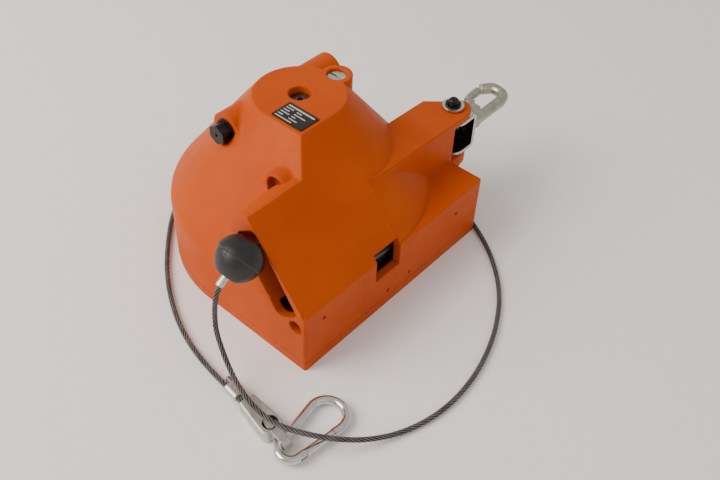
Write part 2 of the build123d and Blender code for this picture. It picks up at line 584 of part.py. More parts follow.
def drum_lock():
    """Slotted bolt; its cam finger swings over a hole of the drum and locks it."""
    head_top = TOP_Z - 1.6
    bolt = rod_z(LOCK_HEAD_R, LOCK_SEAT_Z, head_top) + rod_z(LOCK_SHANK_R, LOCK_FOOT_Z, LOCK_SEAT_Z)
    bolt = chamfer(bolt.edges().filter_by(GeomType.CIRCLE).sort_by(Axis.Z)[-1], 0.5)
    return Pos(LOCK_X, LOCK_Y) * (bolt - block(-1.0, 1.0, -10, 10, head_top - 2.2, TOP_Z))


LOCK_FOOT_Z = DRUM_HIGH_Z + 2.5 + 1.2


def nameplate():
    size_x, size_y, thick, margin = 17.2, 26.4, 0.8, 1.8
    inner = TOP_R - margin - 1.0
    plate = block(-inner, -inner + size_x, -inner, -inner + size_y, TOP_Z, TOP_Z + thick)
    return fillet(plate.edges().filter_by(Axis.Z), 0.6)


# ---- suspension ----------------------------------------------------------------------------------
def suspension_pin():
    """Headed pin through both ears, with a groove for its clip above the top washer."""
    top, under = ear_top(PIN_X) + 8.0, EAR_BOTTOM - 0.2
    pin = rod_z(PIN_R, under, top, PIN_X, PIN_Y) + rod_z(7.0, under - 4.0, under, PIN_X, PIN_Y)
    pin = fillet(pin.edges().filter_by(GeomType.CIRCLE).sort_by(Axis.Z)[-1], 2.6)
    low = ear_top(PIN_X) + WASHER_LIFT + WASHER_T
    return pin - ring_z(PIN_R + 1, PIN_R - 0.8, low, low + 1.1, PIN_X, PIN_Y)


WASHER_T, WASHER_LIFT = 1.6, 0.9


def ear_top(x):
    return ARM_TOP_NEAR - (ARM_TOP_NEAR - ARM_TOP_FAR) / PIN_X * x


def pin_washer():
    low = ear_top(PIN_X) + WASHER_LIFT
    return ring_z(8.25, PIN_R + PIN_CLEAR, low, low + WASHER_T, PIN_X, PIN_Y)


def pin_clip():
    low = ear_top(PIN_X) + WASHER_LIFT + WASHER_T + 0.05
    clip = ring_z(PIN_R + 1.9, PIN_R - 0.75, low, low + 1.0, PIN_X, PIN_Y)
    mouth = block(PIN_X, PIN_X + 9, PIN_Y - 2.4, PIN_Y + 2.4, low - 1, low + 2)
    return clip - Pos(PIN_X, PIN_Y) * Rot(0, 0, 200) * Pos(-PIN_X, -PIN_Y) * mouth


def suspension_bracket():
    """Bent strip: two legs between the ears and a web that the hook swivels in."""
    low, high = GAP_LOW + BRACKET_GAP, GAP_HIGH - BRACKET_GAP
    half = BRACKET_W / 2
    reach = PIN_X + BRACKET_REACH
    outer = block(PIN_X, reach, PIN_Y - half, PIN_Y + half, low, high)
    outer += rod_z(half, low, high, PIN_X, PIN_Y)
    corners = outer.edges().filter_by(Axis.Y).group_by(Axis.X)[-1]
    outer = fillet(corners, 4.5)
    back = PIN_X - half - 1
    web = reach - BRACKET_T
    inner = block(back, web, PIN_Y - half - 1, PIN_Y + half + 1, low + BRACKET_T, high - BRACKET_T)
    bends = inner.edges().filter_by(Axis.Y).group_by(Axis.X)[-1]
    strip = outer - fillet(bends, 2.0)
    strip -= rod_z(PIN_R + PIN_CLEAR, 0, TOP_Z, PIN_X, PIN_Y)
    return strip - rod_x(SHANK_R + RUN_GAP, PIN_X, reach + 5, PIN_Y, HOOK_Z)


def hook_bar(points, radii, radius):
    path = FilletPolyline(*[(x, y, HOOK_Z) for x, y in points], radius=radii)
    return sweep(Plane(origin=path @ 0, z_dir=path % 0) * Circle(radius), path)


HOOK_FACE = PIN_X + BRACKET_REACH + 0.5
LATCH_X, LATCH_Y = 142.5, -41.5


def swivel_hook():
    """Forged hook: shank through the web, wide neck, thick back and nose."""
    x0 = HOOK_FACE
    neck = extrude(
        Pos(0, 0, HOOK_Z - HOOK_BAR_R) * Polygon(
            (x0, PIN_Y - 10.0), (x0 + 9, PIN_Y - 11.4), (x0 + 21, PIN_Y - 2.5), (x0 + 22, PIN_Y + 5.5),
            (x0 + 17.5, PIN_Y + 13.0), (x0 + 12, PIN_Y + 12.5), (x0, PIN_Y + 6.0), align=None,
        ),
        2 * HOOK_BAR_R,
    )
    neck = fillet(neck.edges().filter_by(Axis.Z), 2.0)
    neck = fillet(neck.edges(), 1.2)
    bend = [(x0 + 8, PIN_Y - 7.0), (165, PIN_Y - 7.0), (175, PIN_Y - 4), (176, PIN_Y + 8)]
    bar = hook_bar(bend + [(167.6, PIN_Y + 13.8)], [10.0, 8.0, 5.5], HOOK_BAR_R)
    neck -= rod_z(5.0, HOOK_Z - 2.3, HOOK_Z + 2.3, LATCH_X, LATCH_Y)
    neck -= block(LATCH_X, LATCH_X + 12, LATCH_Y - 4.4, LATCH_Y + 12, HOOK_Z - 2.3, HOOK_Z + 2.3)
    neck -= rod_z(LATCH_PIN_R, HOOK_Z - 9, HOOK_Z + 9, LATCH_X, LATCH_Y)
    shank = rod_x(SHANK_R, SHANK_END, x0 + 6, PIN_Y, HOOK_Z)
    return neck + bar + shank


LATCH_PIN_R = 1.6
SHANK_END = PIN_X + PIN_R + 0.9


def swivel_nut():
    """Round nut that keeps the shank in the web, inside the bracket."""
    near = SHANK_END + 0.2
    return rod_x(8.0, near, PIN_X + BRACKET_REACH - BRACKET_T - 0.25, PIN_Y, HOOK_Z) - rod_x(
        SHANK_R, near - 1, PIN_X + 40, PIN_Y, HOOK_Z
    )


def hook_latch():
    tongue = rod_z(4.4, HOOK_Z - 2.1, HOOK_Z + 2.1, LATCH_X, LATCH_Y)
    bend = [(LATCH_X + 5.2, LATCH_Y + 2.8), (LATCH_X + 10.0, PIN_Y + 13.2), (164.0, PIN_Y + 13.9)]
    bar = hook_bar(bend, 9.0, LATCH_R)
    link = block(LATCH_X, LATCH_X + 7.5, LATCH_Y - 2.2, LATCH_Y + 4.4, HOOK_Z - 2.1, HOOK_Z + 2.1)
    return tongue + link + bar - rod_z(LATCH_PIN_R + RUN_GAP, HOOK_Z - 9, HOOK_Z + 9, LATCH_X, LATCH_Y)


def latch_pin():
    return rod_z(LATCH_PIN_R, HOOK_Z - HOOK_BAR_R + 0.2, HOOK_Z + HOOK_BAR_R - 0.2, LATCH_X, LATCH_Y)


# ---- stopper -------------------------------------------------------------------------------------
STOPPER_X = -CASE_R - 12.0
NOSE_DIR = Vector(-cos(radians(STOPPER_TILT)), 0, -sin(radians(STOPPER_TILT)))
STOPPER_CENTRE = Vector(STOPPER_X, STOPPER_Y, STOPPER_Z)


def on_stopper(shape):
    """Place a shape made along +Z from the stopper's centre so that +Z becomes the nose direction."""
    plane = Plane(origin=STOPPER_CENTRE, x_dir=(0, 1, 0), z_dir=NOSE_DIR)
    return plane * shape


def stopper_half(side):
    """Half of the moulded stopper; the two halves are clamped on the rope."""
    lip_r = 7.2
    outline = Plane.XZ * make_face([
        Polyline((0, -STOPPER_REAR), (8.0, -STOPPER_REAR)),
        ThreePointArc((8.0, -STOPPER_REAR), (13.8, -7.4), (STOPPER_R, -0.5)),
        Polyline((STOPPER_R, -0.5), (STOPPER_R - 0.7, 0.6)),
        ThreePointArc((STOPPER_R - 0.7, 0.6), (12.7, 8.0), (lip_r, STOPPER_FRONT)),
        Polyline((lip_r, STOPPER_FRONT), (0, STOPPER_FRONT), (0, -STOPPER_REAR)),
    ])
    body = revolve(outline, Axis.Z)
    rim = body.edges().filter_by(GeomType.CIRCLE).sort_by(Axis.Z)[-1]
    body = fillet(rim, 0.8)
    body -= rod_z(FERRULE_R + 1.6, STOPPER_FRONT - FERRULE_SINK, STOPPER_FRONT + 1)
    body -= rod_z(ROPE_R, -1, STOPPER_FRONT + 1)
    body -= Pos(0, 0, -STOPPER_REAR - 1) * Cone(8.0, ROPE_R, STOPPER_REAR + 1, align=BASE)
    for x, facing in STOPPER_SCREWS:
        seat = facing * STOPPER_SCREW_SEAT
        body -= rod_y(STOPPER_SINK_R, min(seat, facing * 20), max(seat, facing * 20), x, STOPPER_SCREW_Z)
        foot = -facing * STOPPER_SCREW_FOOT
        body -= rod_y(STOPPER_SHANK_R, min(seat, foot), max(seat, foot), x, STOPPER_SCREW_Z)
    half = block(-20, 20, 0.05, 20, -20, 20) if side > 0 else block(-20, 20, -20, -0.05, -20, 20)
    return on_stopper(Rot(0, 0, 90) * (body & half))


STOPPER_SCREW_SEAT, STOPPER_SCREW_FOOT, STOPPER_SCREW_Z = 6.5, 7.0, -0.5
STOPPER_SINK_R, STOPPER_SHANK_R = 3.3, 1.6
STOPPER_SCREWS = ((8.0, 1), (-8.0, -1))       # one screw from each side, each cuts into the other half


def stopper_screws():
    screws = []
    for x, facing in STOPPER_SCREWS:
        length, head_h = STOPPER_SCREW_SEAT + STOPPER_SCREW_FOOT - 0.5, 2.6
        screw = rod_z(STOPPER_SHANK_R, -length, 0) + rod_z(2.8, 0, head_h)
        screw -= block(-0.4, 0.4, -4, 4, head_h - 1.1, head_h + 1)
        turned = Pos(x, facing * STOPPER_SCREW_SEAT, STOPPER_SCREW_Z) * Rot(-90 * facing, 0, 0) * screw
        screws.append(on_stopper(Rot(0, 0, 90) * turned))
    return screws


def stop_ferrule():
    near = STOPPER_FRONT - FERRULE_SINK
    return on_stopper(ring_z(FERRULE_R, ROPE_R, near, near + FERRULE_L))


def rope_lead():
    """Straight rope from the drum through the slot into the stopper."""
    return rod_x(ROPE_R, STOPPER_X + 1.6, 0, STOPPER_Y, STOPPER_Z)


# ---- rope outside the case -------------------------------------------------------------------------
ROPE_POINTS = [
    (-124.2, -50.6, 73.2), (-126.4, -49.4, 61.5), (-126.6, -47.8, 48.5), (-127.6, -48.6, 35.6),
    (-129.8, -54.8, 25.6), (-133.9, -65.6, 18.9), (-138.8, -79.4, 16.4), (-142.4, -94.5, 15.9),
    (-143.4, -110.0, 15.8), (-139.8, -123.8, 15.4), (-132.8, -136.4, 14.2), (-123.4, -148.6, 11.4),
    (-108.4, -160.8, 6.2), (-88.0, -171.8, 2.2), (-64.0, -179.6, 2.2), (-37.0, -181.4, 2.2),
    (-6.0, -176.4, 2.2), (25.0, -164.8, 2.2), (53.0, -147.6, 2.2), (77.0, -123.0, 2.2),
    (95.0, -94.6, 2.2), (106.6, -63.0, 2.2), (111.0, -29.0, 2.2), (109.0, 5.0, 2.2),
    (101.0, 38.0, 2.2), (86.0, 67.0, 2.2), (63.0, 88.0, 2.2), (33.0, 100.6, 2.2),
    (1.0, 104.0, 2.2), (-30.5, 99.2, 2.2), (-57.0, 83.8, 2.2), (-78.0, 63.4, 2.2),
    (-93.4, 46.6, 2.2), (-104.8, 31.6, 2.2), (-115.2, 15.0, 2.2), (-124.4, -3.4, 2.2),
    (-131.2, -22.6, 2.3), (-135.2, -41.0, 2.8), (-137.2, -55.2, 3.1),
]
BEND_SHARE = 0.45


def clamp_frame():
    """Plane of the wedge clamp: origin at its eye, x towards its mouth."""
    a = radians(CLAMP_TURN)
    return Plane(origin=(EYE_X, EYE_Y, 0), x_dir=(cos(a), sin(a), 0), z_dir=(0, 0, 1))


def clamp_point(along, across, height):
    return clamp_frame().from_local_coords(Vector(along, across, height))


ROPE_LEVEL = CLAMP_H / 2 + 0.1
SLEEVE_AT = 46.0


def route_radii(points):
    """Bend radius at each inner point: as large as its two runs allow."""
    radii = []
    for before, here, after in zip(points, points[1:], points[2:]):
        run_in, run_out = here - before, after - here
        turn = radians(run_in.get_angle(run_out))
        radii.append(BEND_SHARE * min(run_in.length, run_out.length) / tan(turn / 2))
    return radii


def rope_tube(points):
    radii = route_radii(points)
    path = FilletPolyline(*points, radius=radii)
    tube = sweep(Plane(origin=path @ 0, z_dir=path % 0) * Circle(ROPE_R), path)
    section = pi * ROPE_R ** 2
    print(f"rope {path.length:.1f} mm, volume share {tube.volume / (section * path.length):.4f}, radii",
          [round(r, 1) for r in radii])
    return tube


def rope_route():
    start = STOPPER_CENTRE + NOSE_DIR * (STOPPER_FRONT - FERRULE_SINK)
    middle = [Vector(*p) for p in ROPE_POINTS]
    in_sleeve = clamp_point(SLEEVE_AT + 8, ROPE_R + 0.25, 3.6)
    in_mouth = clamp_point(CLAMP_L + 1.0, ROPE_R + 0.15, ROPE_LEVEL)
    return [start] + middle + [in_sleeve, in_mouth]


def rope():
    return rope_tube(rope_route())


def rope_bight():
    """Rope end: from the live rope's end round the wedge and back out through the sleeve."""
    head = WEDGE_R + ROPE_R + 0.05
    wedge_at = 13.0
    points = [
        clamp_point(CLAMP_L + 1.0, ROPE_R + 0.15, ROPE_LEVEL),
        clamp_point(wedge_at - head, head, ROPE_LEVEL), clamp_point(wedge_at - head, -head, ROPE_LEVEL),
        clamp_point(CLAMP_L + 1.0, -ROPE_R - 0.15, ROPE_LEVEL),
        clamp_point(SLEEVE_AT + 15.5, -ROPE_R - 0.3, 3.4),
    ]
    path = FilletPolyline(*points, radius=[head - 0.05, head - 0.05, 40.0])
    return sweep(Plane(origin=path @ 0, z_dir=path % 0) * Circle(ROPE_R), path)


def crimp_sleeve():
    """Oval sleeve pressed over the live rope and its dead end."""
    start, end = clamp_point(SLEEVE_AT - 2.0, 0, 4.2), clamp_point(SLEEVE_AT - 2.0 + SLEEVE_L, 0, 3.6)
    axis = Plane(origin=start, x_dir=clamp_frame().y_dir, z_dir=end - start)
    oval = SlotCenterToCenter(2 * ROPE_R + 0.5, 2 * ROPE_R + 2.6)
    sleeve = extrude(axis * oval, SLEEVE_L)
    ends = sleeve.faces().sort_by(Axis.Y)
    sleeve = fillet(ends[0].edges() + ends[-1].edges(), 0.8)
    for side in (-1, 1):
        bore = axis * (Pos(side * (ROPE_R + 0.2), 0) * Circle(ROPE_R))
        sleeve -= extrude(bore, SLEEVE_L + 1)
        sleeve -= extrude(bore, -1)
    return sleeve


def wedge_clamp():
    """Folded steel pocket: narrow mouth for the rope, wide end for the wedge, and an eye."""
    outer = Polygon(
        (CLAMP_L, -5.6), (CLAMP_L, 5.6), (20, 7.4), (10, 7.9),
        (7.4, 6.2), (7.4, -6.2), (10, -7.9), (20, -7.4), align=None,
    )
    inner = Polygon(
        (CLAMP_L + 1, -4.1), (CLAMP_L + 1, 4.1), (20, 6.3), (9, 6.5), (9, -6.5), (20, -6.3), align=None
    )
    shell = extrude(Pos(0, 0, 0.1) * fillet(outer.vertices(), 1.5), CLAMP_H)
    shell = fillet(shell.faces().sort_by(Axis.Z)[-1].edges(), 1.3)
    shell = fillet(shell.faces().sort_by(Axis.Z)[0].edges(), 1.3)
    shell -= extrude(Pos(0, 0, 0.1 + CLAMP_T) * inner, CLAMP_H - 2 * CLAMP_T)
    tongue = block(-6.0, 10.0, -3.1, 3.1, 0.1, 0.1 + CLAMP_H)
    tongue = fillet(tongue.edges().filter_by(Axis.Y).group_by(Axis.X)[0], 4.6)
    passage = block(-4.4, 5.2, -9, 9, 0.1 + CLAMP_T, 0.1 + CLAMP_H - CLAMP_T)
    passage = fillet(passage.edges().filter_by(Axis.Y), 3.0)
    shell = shell + tongue - passage
    shell -= rod_z(5.4, CLAMP_H - CLAMP_T - 1, CLAMP_H + 2, 13.5, -0.8)
    return clamp_frame() * shell


def wedge():
    face = make_hull(
        (Pos(13.0, 0) * Circle(WEDGE_R)).edges() + (Pos(CLAMP_L - 9.0, 0) * Circle(0.5)).edges()
    )
    return clamp_frame() * extrude(Pos(0, 0, 0.1 + CLAMP_T + 0.3) * face, CLAMP_H - 2 * CLAMP_T - 0.6)


# ---- snap link -------------------------------------------------------------------------------------
LINK_TAPER = asin((LINK_BIG_R - LINK_SMALL_R) / LINK_SPAN)
LINK_X, LINK_Y, LINK_YAW = EYE_X - 0.8, EYE_Y - LINK_SMALL_R + 0.2, 2.0
LINK_Z = 0.1 + CLAMP_T + LINK_ROD_R + 0.4
LINK_DIP = degrees(asin((LINK_Z - LINK_ROD_R - 0.1) / (LINK_SPAN + LINK_BIG_R)))


def link_place(shape):
    """The link lies on the floor with its small end lifted by the clamp's sheet."""
    return Pos(LINK_X, LINK_Y, LINK_Z) * Rot(0, 0, LINK_YAW) * Rot(0, LINK_DIP, 0) * shape


def link_tangents(side):
    normal = Vector(-sin(LINK_TAPER), side * cos(LINK_TAPER), 0)
    big = Vector(LINK_SPAN, 0, 0)
    return normal * LINK_SMALL_R, big + normal * LINK_BIG_R


def link_body():
    """Round steel bent to a pear, open on one side for the gate."""
    small_gate, big_gate = link_tangents(-1)
    small_bar, big_bar = link_tangents(1)
    run = big_gate - small_gate
    pivot = small_gate + run * GATE_PIVOT
    stub, nose = pivot + run.normalized() * (LINK_ROD_R + 2), small_gate + run * GATE_TO
    path = Wire([
        Line(nose, big_gate), ThreePointArc(big_gate, (LINK_SPAN + LINK_BIG_R, 0, 0), big_bar),
        Line(big_bar, small_bar), ThreePointArc(small_bar, (-LINK_SMALL_R, 0, 0), small_gate),
        Line(small_gate, stub),
    ])
    rod = sweep(Plane(origin=path @ 0, z_dir=path % 0) * Circle(LINK_ROD_R), path)
    hinge = Plane(origin=pivot, x_dir=run, z_dir=(0, 0, 1))
    end = block(0, LINK_ROD_R + 3, -5, 5, -5, 5) - Cylinder(LINK_ROD_R, 10)
    fork = block(-3.2, 5, -5, 5, -1.3, 1.3)
    return link_place(rod - hinge * (end + fork + Cylinder(GATE_PIN_R, 10)))


GATE_TO, GATE_PIVOT = 0.84, 0.10
GATE_PIN_R = 0.9


def link_gate():
    """Straight gate; its end is hollowed to clear the rounded end of the rod it turns on."""
    small_gate, big_gate = link_tangents(-1)
    run = big_gate - small_gate
    hinge = Plane(origin=small_gate + run * GATE_PIVOT, x_dir=run, z_dir=(0, 0, 1))
    far = run.length * (GATE_TO - GATE_PIVOT) - 0.3
    bar = rod_x(LINK_ROD_R - 0.3, 0, far, 0, 0) - Cylinder(LINK_ROD_R + 0.4, 10)
    tongue = block(-1.6, LINK_ROD_R + 1.0, -1.9, 1.9, -1.1, 1.1)
    return link_place(hinge * (bar + tongue - Cylinder(GATE_PIN_R + RUN_GAP, 10)))


def gate_pin():
    small_gate, big_gate = link_tangents(-1)
    place = Plane(origin=small_gate + (big_gate - small_gate) * GATE_PIVOT, z_dir=(0, 0, 1))
    return link_place(place * Cylinder(GATE_PIN_R, 2 * LINK_ROD_R - 0.6))


def parts():
    root = {
        "housing": housing(),
        "back_cover": back_cover(),
        "cover_screws": cover_screws(),
        "nameplate": nameplate(),
        "arbor_upper_bush": ring_z(BUSH_R, ARBOR_R + RUN_GAP, TOP_Z - ROOF_T, UPPER_BUSH_TOP),
        "arbor_lower_bush": ring_z(BUSH_R, ARBOR_R + RUN_GAP, LOWER_BUSH_LOW, LOWER_BUSH_TOP),
        "catch_ring": catch_ring(),
        "catch_ring_screws": catch_screws(),
        "worm_near_bush": worm_bush(WORM_BOSS_NEAR + 1.5),
        "worm_far_bush": worm_bush(WORM_PLUG_NEAR - 1 - WORM_BUSH_L),
        "worm_bore_plug": worm_plug(),
        "suspension_pin": suspension_pin(),
        "pin_washer": pin_washer(),
        "pin_clip": pin_clip(),
        "rope_lead": rope_lead(),
        "stopper_half_left": stopper_half(1),
        "stopper_half_right": stopper_half(-1),
        "stopper_screws": stopper_screws(),
        "stop_ferrule": stop_ferrule(),
        "rope": rope(),
        "rope_end_loop": rope_bight(),
        "crimp_sleeve": crimp_sleeve(),
        "wedge_clamp": wedge_clamp(),
        "clamp_wedge": wedge(),
    }
    drum = {
        "rope_drum": rope_drum(),
        "rope_windings": rope_windings(),
        "drum_lower_bearing": ball_bearing(LOWER_BEARING_Z),
        "drum_upper_bearing": ball_bearing(UPPER_BEARING_Z),
        "spring_cover": spring_cover(),
        "spring_cover_screws": spring_cover_screws(),
        "mainspring": mainspring(),
        "pawl_pins": pawl_pins(),
    }
    moving = {
        "pawl_1": pawl(0),
        "pawl_2": pawl(180),
        "spring_arbor": spring_arbor(),
        "wheel_key": wheel_key(),
        "arbor_spacer": arbor_spacer(),
        "worm_wheel": worm_wheel(),
        "worm_shaft": worm_shaft(),
        "tension_hex": tension_hex(),
        "drum_lock_bolt": drum_lock(),
        "suspension_bracket": suspension_bracket(),
        "swivel_hook": swivel_hook(),
        "swivel_nut": swivel_nut(),
        "latch_pin": latch_pin(),
        "hook_latch": hook_latch(),
        "snap_link": link_body(),
        "gate_pin": gate_pin(),
        "snap_link_gate": link_gate(),
    }
    return {**root, **drum, **moving}


os.makedirs("parts", exist_ok=True)
for name, shape in parts().items():
    solids = Compound(children=list(shape)) if isinstance(shape, list) else shape
    export_step(solids, f"parts/{name}.step")
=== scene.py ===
import bpy
from math import cos, pi, radians, sin
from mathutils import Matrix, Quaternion, Vector


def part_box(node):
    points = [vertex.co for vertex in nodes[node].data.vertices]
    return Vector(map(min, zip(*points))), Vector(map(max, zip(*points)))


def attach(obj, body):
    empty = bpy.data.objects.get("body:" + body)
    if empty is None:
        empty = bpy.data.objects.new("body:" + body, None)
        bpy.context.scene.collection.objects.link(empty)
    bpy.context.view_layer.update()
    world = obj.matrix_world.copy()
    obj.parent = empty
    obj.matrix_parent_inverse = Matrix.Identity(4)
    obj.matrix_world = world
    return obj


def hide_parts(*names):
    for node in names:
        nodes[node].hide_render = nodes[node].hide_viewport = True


# A rope spring balancer lying on its back cover. Metres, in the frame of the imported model: +Z along the
# drum axis, +X towards the suspension hook, the rope leaves towards -X.
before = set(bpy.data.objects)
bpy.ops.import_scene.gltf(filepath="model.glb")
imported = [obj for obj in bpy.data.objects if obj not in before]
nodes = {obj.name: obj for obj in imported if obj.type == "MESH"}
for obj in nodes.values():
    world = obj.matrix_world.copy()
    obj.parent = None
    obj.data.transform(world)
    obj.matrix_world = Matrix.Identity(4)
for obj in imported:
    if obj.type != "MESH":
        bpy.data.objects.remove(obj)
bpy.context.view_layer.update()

# ---- camera -------------------------------------------------------------------------------------------
# A 44 mm lens on a 36 mm frame, held above the corner where the rope leaves and rolled by almost three
# degrees.
CAMERA_AT, CAMERA_TOWARDS, ROLL_DEGREES = (-0.3454, -0.3432, 0.4780), (0.5453, 0.4503, -0.7070), 2.85
camera_data = bpy.data.cameras.new("camera")
camera_data.sensor_width = 36.0
camera_data.lens = 44.49
camera_data.clip_start = 0.01
camera = bpy.data.objects.new("camera", camera_data)
camera.rotation_mode = "QUATERNION"
level = Vector(CAMERA_TOWARDS).to_track_quat("-Z", "Y")
camera.rotation_quaternion = level @ Quaternion((0, 0, 1), radians(ROLL_DEGREES))
camera.location = CAMERA_AT
bpy.context.scene.collection.objects.link(camera)
bpy.context.scene.camera = camera


# ---- floor and light ----------------------------------------------------------------------------------
# A pale foam board under the balancer. A large soft window light stands to its left and behind, and a
# weak one opposite fills the shadows.
def srgb(code, alpha=1.0):
    """Linear colour of an sRGB hex code."""
    parts = [int(code[i:i + 2], 16) / 255 for i in (1, 3, 5)]
    return tuple(c / 12.92 if c <= 0.04045 else ((c + 0.055) / 1.055) ** 2.4 for c in parts) + (alpha,)


def add_node(tree, kind, settings=None, links=None):
    """A shader node with its settings and what feeds its sockets. A setting is an attribute, a socket's
    value, or "stops": the two (position, hex) ends of a colour ramp."""
    made = tree.nodes.new("ShaderNode" + kind)
    for key, value in (settings or {}).items():
        if key == "stops":
            for end, (position, code) in zip(made.color_ramp.elements, value):
                end.position, end.color = position, srgb(code)
        elif isinstance(key, str) and hasattr(made, key):
            setattr(made, key, value)
        else:
            made.inputs[key].default_value = value
    for key, source in (links or {}).items():
        tree.links.new(source, made.inputs[key])
    return made


def new_material(name):
    """An empty material of that name, and its node tree."""
    material = bpy.data.materials.new(name)
    material.use_nodes = True
    material.node_tree.nodes.clear()
    return material, material.node_tree


def scale_for(width_mm):
    """The scale of a pattern whose marks are that many millimetres wide."""
    return 1000 / width_mm


FLOOR_HALF, FLOOR_Z = 1.6, -0.0002
floor_mesh = bpy.data.meshes.new("floor")
corners = [(x * FLOOR_HALF, y * FLOOR_HALF, FLOOR_Z) for x, y in ((-1, -1), (1, -1), (1, 1), (-1, 1))]
floor_mesh.from_pydata(corners, [], [(0, 1, 2, 3)])
floor = bpy.data.objects.new("floor", floor_mesh)
bpy.context.scene.collection.objects.link(floor)

# The board's skin is matt, with a grain of about a millimetre and a very slight warm tone.
board, tree = new_material("pale_foam_board")
spot = add_node(tree, "TexCoord").outputs["Object"]
grain = add_node(tree, "TexNoise", {"Scale": scale_for(1.11), "Detail": 3.0}, {"Vector": spot})
bump = add_node(tree, "Bump", {"Strength": 0.15, "Distance": 0.0002}, {"Height": grain.outputs["Fac"]})
colour = add_node(tree, "ValToRGB", {"stops": ((0.3, "#F4EFEC"), (0.7, "#FEFBF9"))},
                  {"Fac": grain.outputs["Fac"]})
skin = add_node(tree, "BsdfPrincipled", {"Roughness": 0.85},
                {"Base Color": colour.outputs["Color"], "Normal": bump.outputs["Normal"]})
add_node(tree, "OutputMaterial", links={"Surface": skin.outputs["BSDF"]})
floor_mesh.materials.append(board)

world = bpy.data.worlds.new("studio")
bpy.context.scene.world = world
world.use_nodes = True
world.node_tree.nodes["Background"].inputs["Color"].default_value = srgb("#F6F2EE")
world.node_tree.nodes["Background"].inputs["Strength"].default_value = 0.72

CASE_MIDDLE = Vector((0, 0, 0.05))


def soft_light(name, place, size, power, tint):
    """A square area light that faces the middle of the case."""
    data = bpy.data.lights.new(name, "AREA")
    data.size, data.energy, data.color = size, power, srgb(tint)[:3]
    lamp = bpy.data.objects.new(name, data)
    lamp.location = place
    lamp.rotation_mode = "QUATERNION"
    lamp.rotation_quaternion = (CASE_MIDDLE - Vector(place)).to_track_quat("-Z", "Y")
    bpy.context.scene.collection.objects.link(lamp)


soft_light("window", (-1.05, 0.75, 1.15), 1.1, 30.0, "#FFF9F2")
soft_light("fill", (-0.3, -1.2, 1.1), 1.2, 1.5, "#F4F4FF")


# ---- case ---------------------------------------------------------------------------------------------
# Die-cast aluminium housing and back cover, both sprayed with the same orange enamel and left satin.
def dress(material, *names):
    """Gives CAD nodes that material on every slot they have."""
    for name in names:
        for held in nodes[name].material_slots:
            held.material = material


# Sprayed enamel over a casting: an even strong orange, slightly mottled where it is thin, with an
# orange-peel ripple of about 1.5 mm. The enamel rounds the look of the cast edges by about 2 mm.
enamel, tree = new_material("satin_orange_enamel_on_casting")
spot = add_node(tree, "TexCoord").outputs["Object"]
mottle = add_node(tree, "TexNoise", {"Scale": scale_for(45.5), "Detail": 4.0, "Roughness": 0.55},
                  {"Vector": spot})
handling = add_node(tree, "TexNoise", {"Scale": scale_for(13.3), "Detail": 5.0, "Roughness": 0.7},
                    {"Vector": spot})
peel = add_node(tree, "TexNoise", {"Scale": scale_for(1.54), "Detail": 2.0}, {"Vector": spot})
rounded = add_node(tree, "Bevel", {"samples": 6, "Radius": 0.0020})
bump = add_node(tree, "Bump", {"Strength": 0.22, "Distance": 0.00009},
                {"Height": peel.outputs["Fac"], "Normal": rounded.outputs["Normal"]})
gloss = add_node(tree, "MapRange", {"From Min": 0.3, "From Max": 0.7, "To Min": 0.44, "To Max": 0.60},
                 {"Value": handling.outputs["Fac"]})
colour = add_node(tree, "ValToRGB", {"stops": ((0.28, "#B84400"), (0.72, "#C54E00"))},
                  {"Fac": mottle.outputs["Fac"]})
skin = add_node(tree, "BsdfPrincipled", {"IOR": 1.5, "Specular IOR Level": 0.16},
                {"Base Color": colour.outputs["Color"],
                 "Roughness": gloss.outputs["Result"], "Normal": bump.outputs["Normal"]})
add_node(tree, "OutputMaterial", links={"Surface": skin.outputs["BSDF"]})
dress(enamel, "housing", "back_cover")

# ---- nameplate ----------------------------------------------------------------------------------------
# Black anodised aluminium plate glued on the top face. Its printing is plain pale bars in rows, with no
# letters: a heading, then rows of a label and a value.
anodised, tree = new_material("black_anodised_aluminium_plate")
spot = add_node(tree, "TexCoord").outputs["Object"]
brushed = add_node(tree, "Mapping", {"Scale": [scale_for(w) for w in (0.385, 16.7, 16.7)]},
                   {"Vector": spot})
lines = add_node(tree, "TexNoise", {"Scale": 1.0, "Detail": 2.0}, {"Vector": brushed.outputs["Vector"]})
bump = add_node(tree, "Bump", {"Strength": 0.15, "Distance": 0.00004}, {"Height": lines.outputs["Fac"]})
gloss = add_node(tree, "MapRange", {"To Min": 0.32, "To Max": 0.48}, {"Value": lines.outputs["Fac"]})
colour = add_node(tree, "ValToRGB", {"stops": ((0.2, "#1B1A1A"), (0.8, "#2B2A29"))},
                  {"Fac": lines.outputs["Fac"]})
skin = add_node(tree, "BsdfPrincipled", {"Metallic": 0.3},
                {"Base Color": colour.outputs["Color"],
                 "Roughness": gloss.outputs["Result"], "Normal": bump.outputs["Normal"]})
add_node(tree, "OutputMaterial", links={"Surface": skin.outputs["BSDF"]})
dress(anodised, "nameplate")

# Screen-printed ink sits a few hundredths of a millimetre proud and is a little worn.
ink, tree = new_material("pale_screen_print_ink")
spot = add_node(tree, "TexCoord").outputs["Object"]
worn = add_node(tree, "TexNoise", {"Scale": scale_for(0.667), "Detail": 3.0}, {"Vector": spot})
bump = add_node(tree, "Bump", {"Strength": 0.2, "Distance": 0.00003}, {"Height": worn.outputs["Fac"]})
colour = add_node(tree, "ValToRGB", {"stops": ((0.3, "#8F8B86"), (0.6, "#C9C5BF"))},
                  {"Fac": worn.outputs["Fac"]})
skin = add_node(tree, "BsdfPrincipled", {"Roughness": 0.6},
                {"Base Color": colour.outputs["Color"], "Normal": bump.outputs["Normal"]})
add_node(tree, "OutputMaterial", links={"Surface": skin.outputs["BSDF"]})

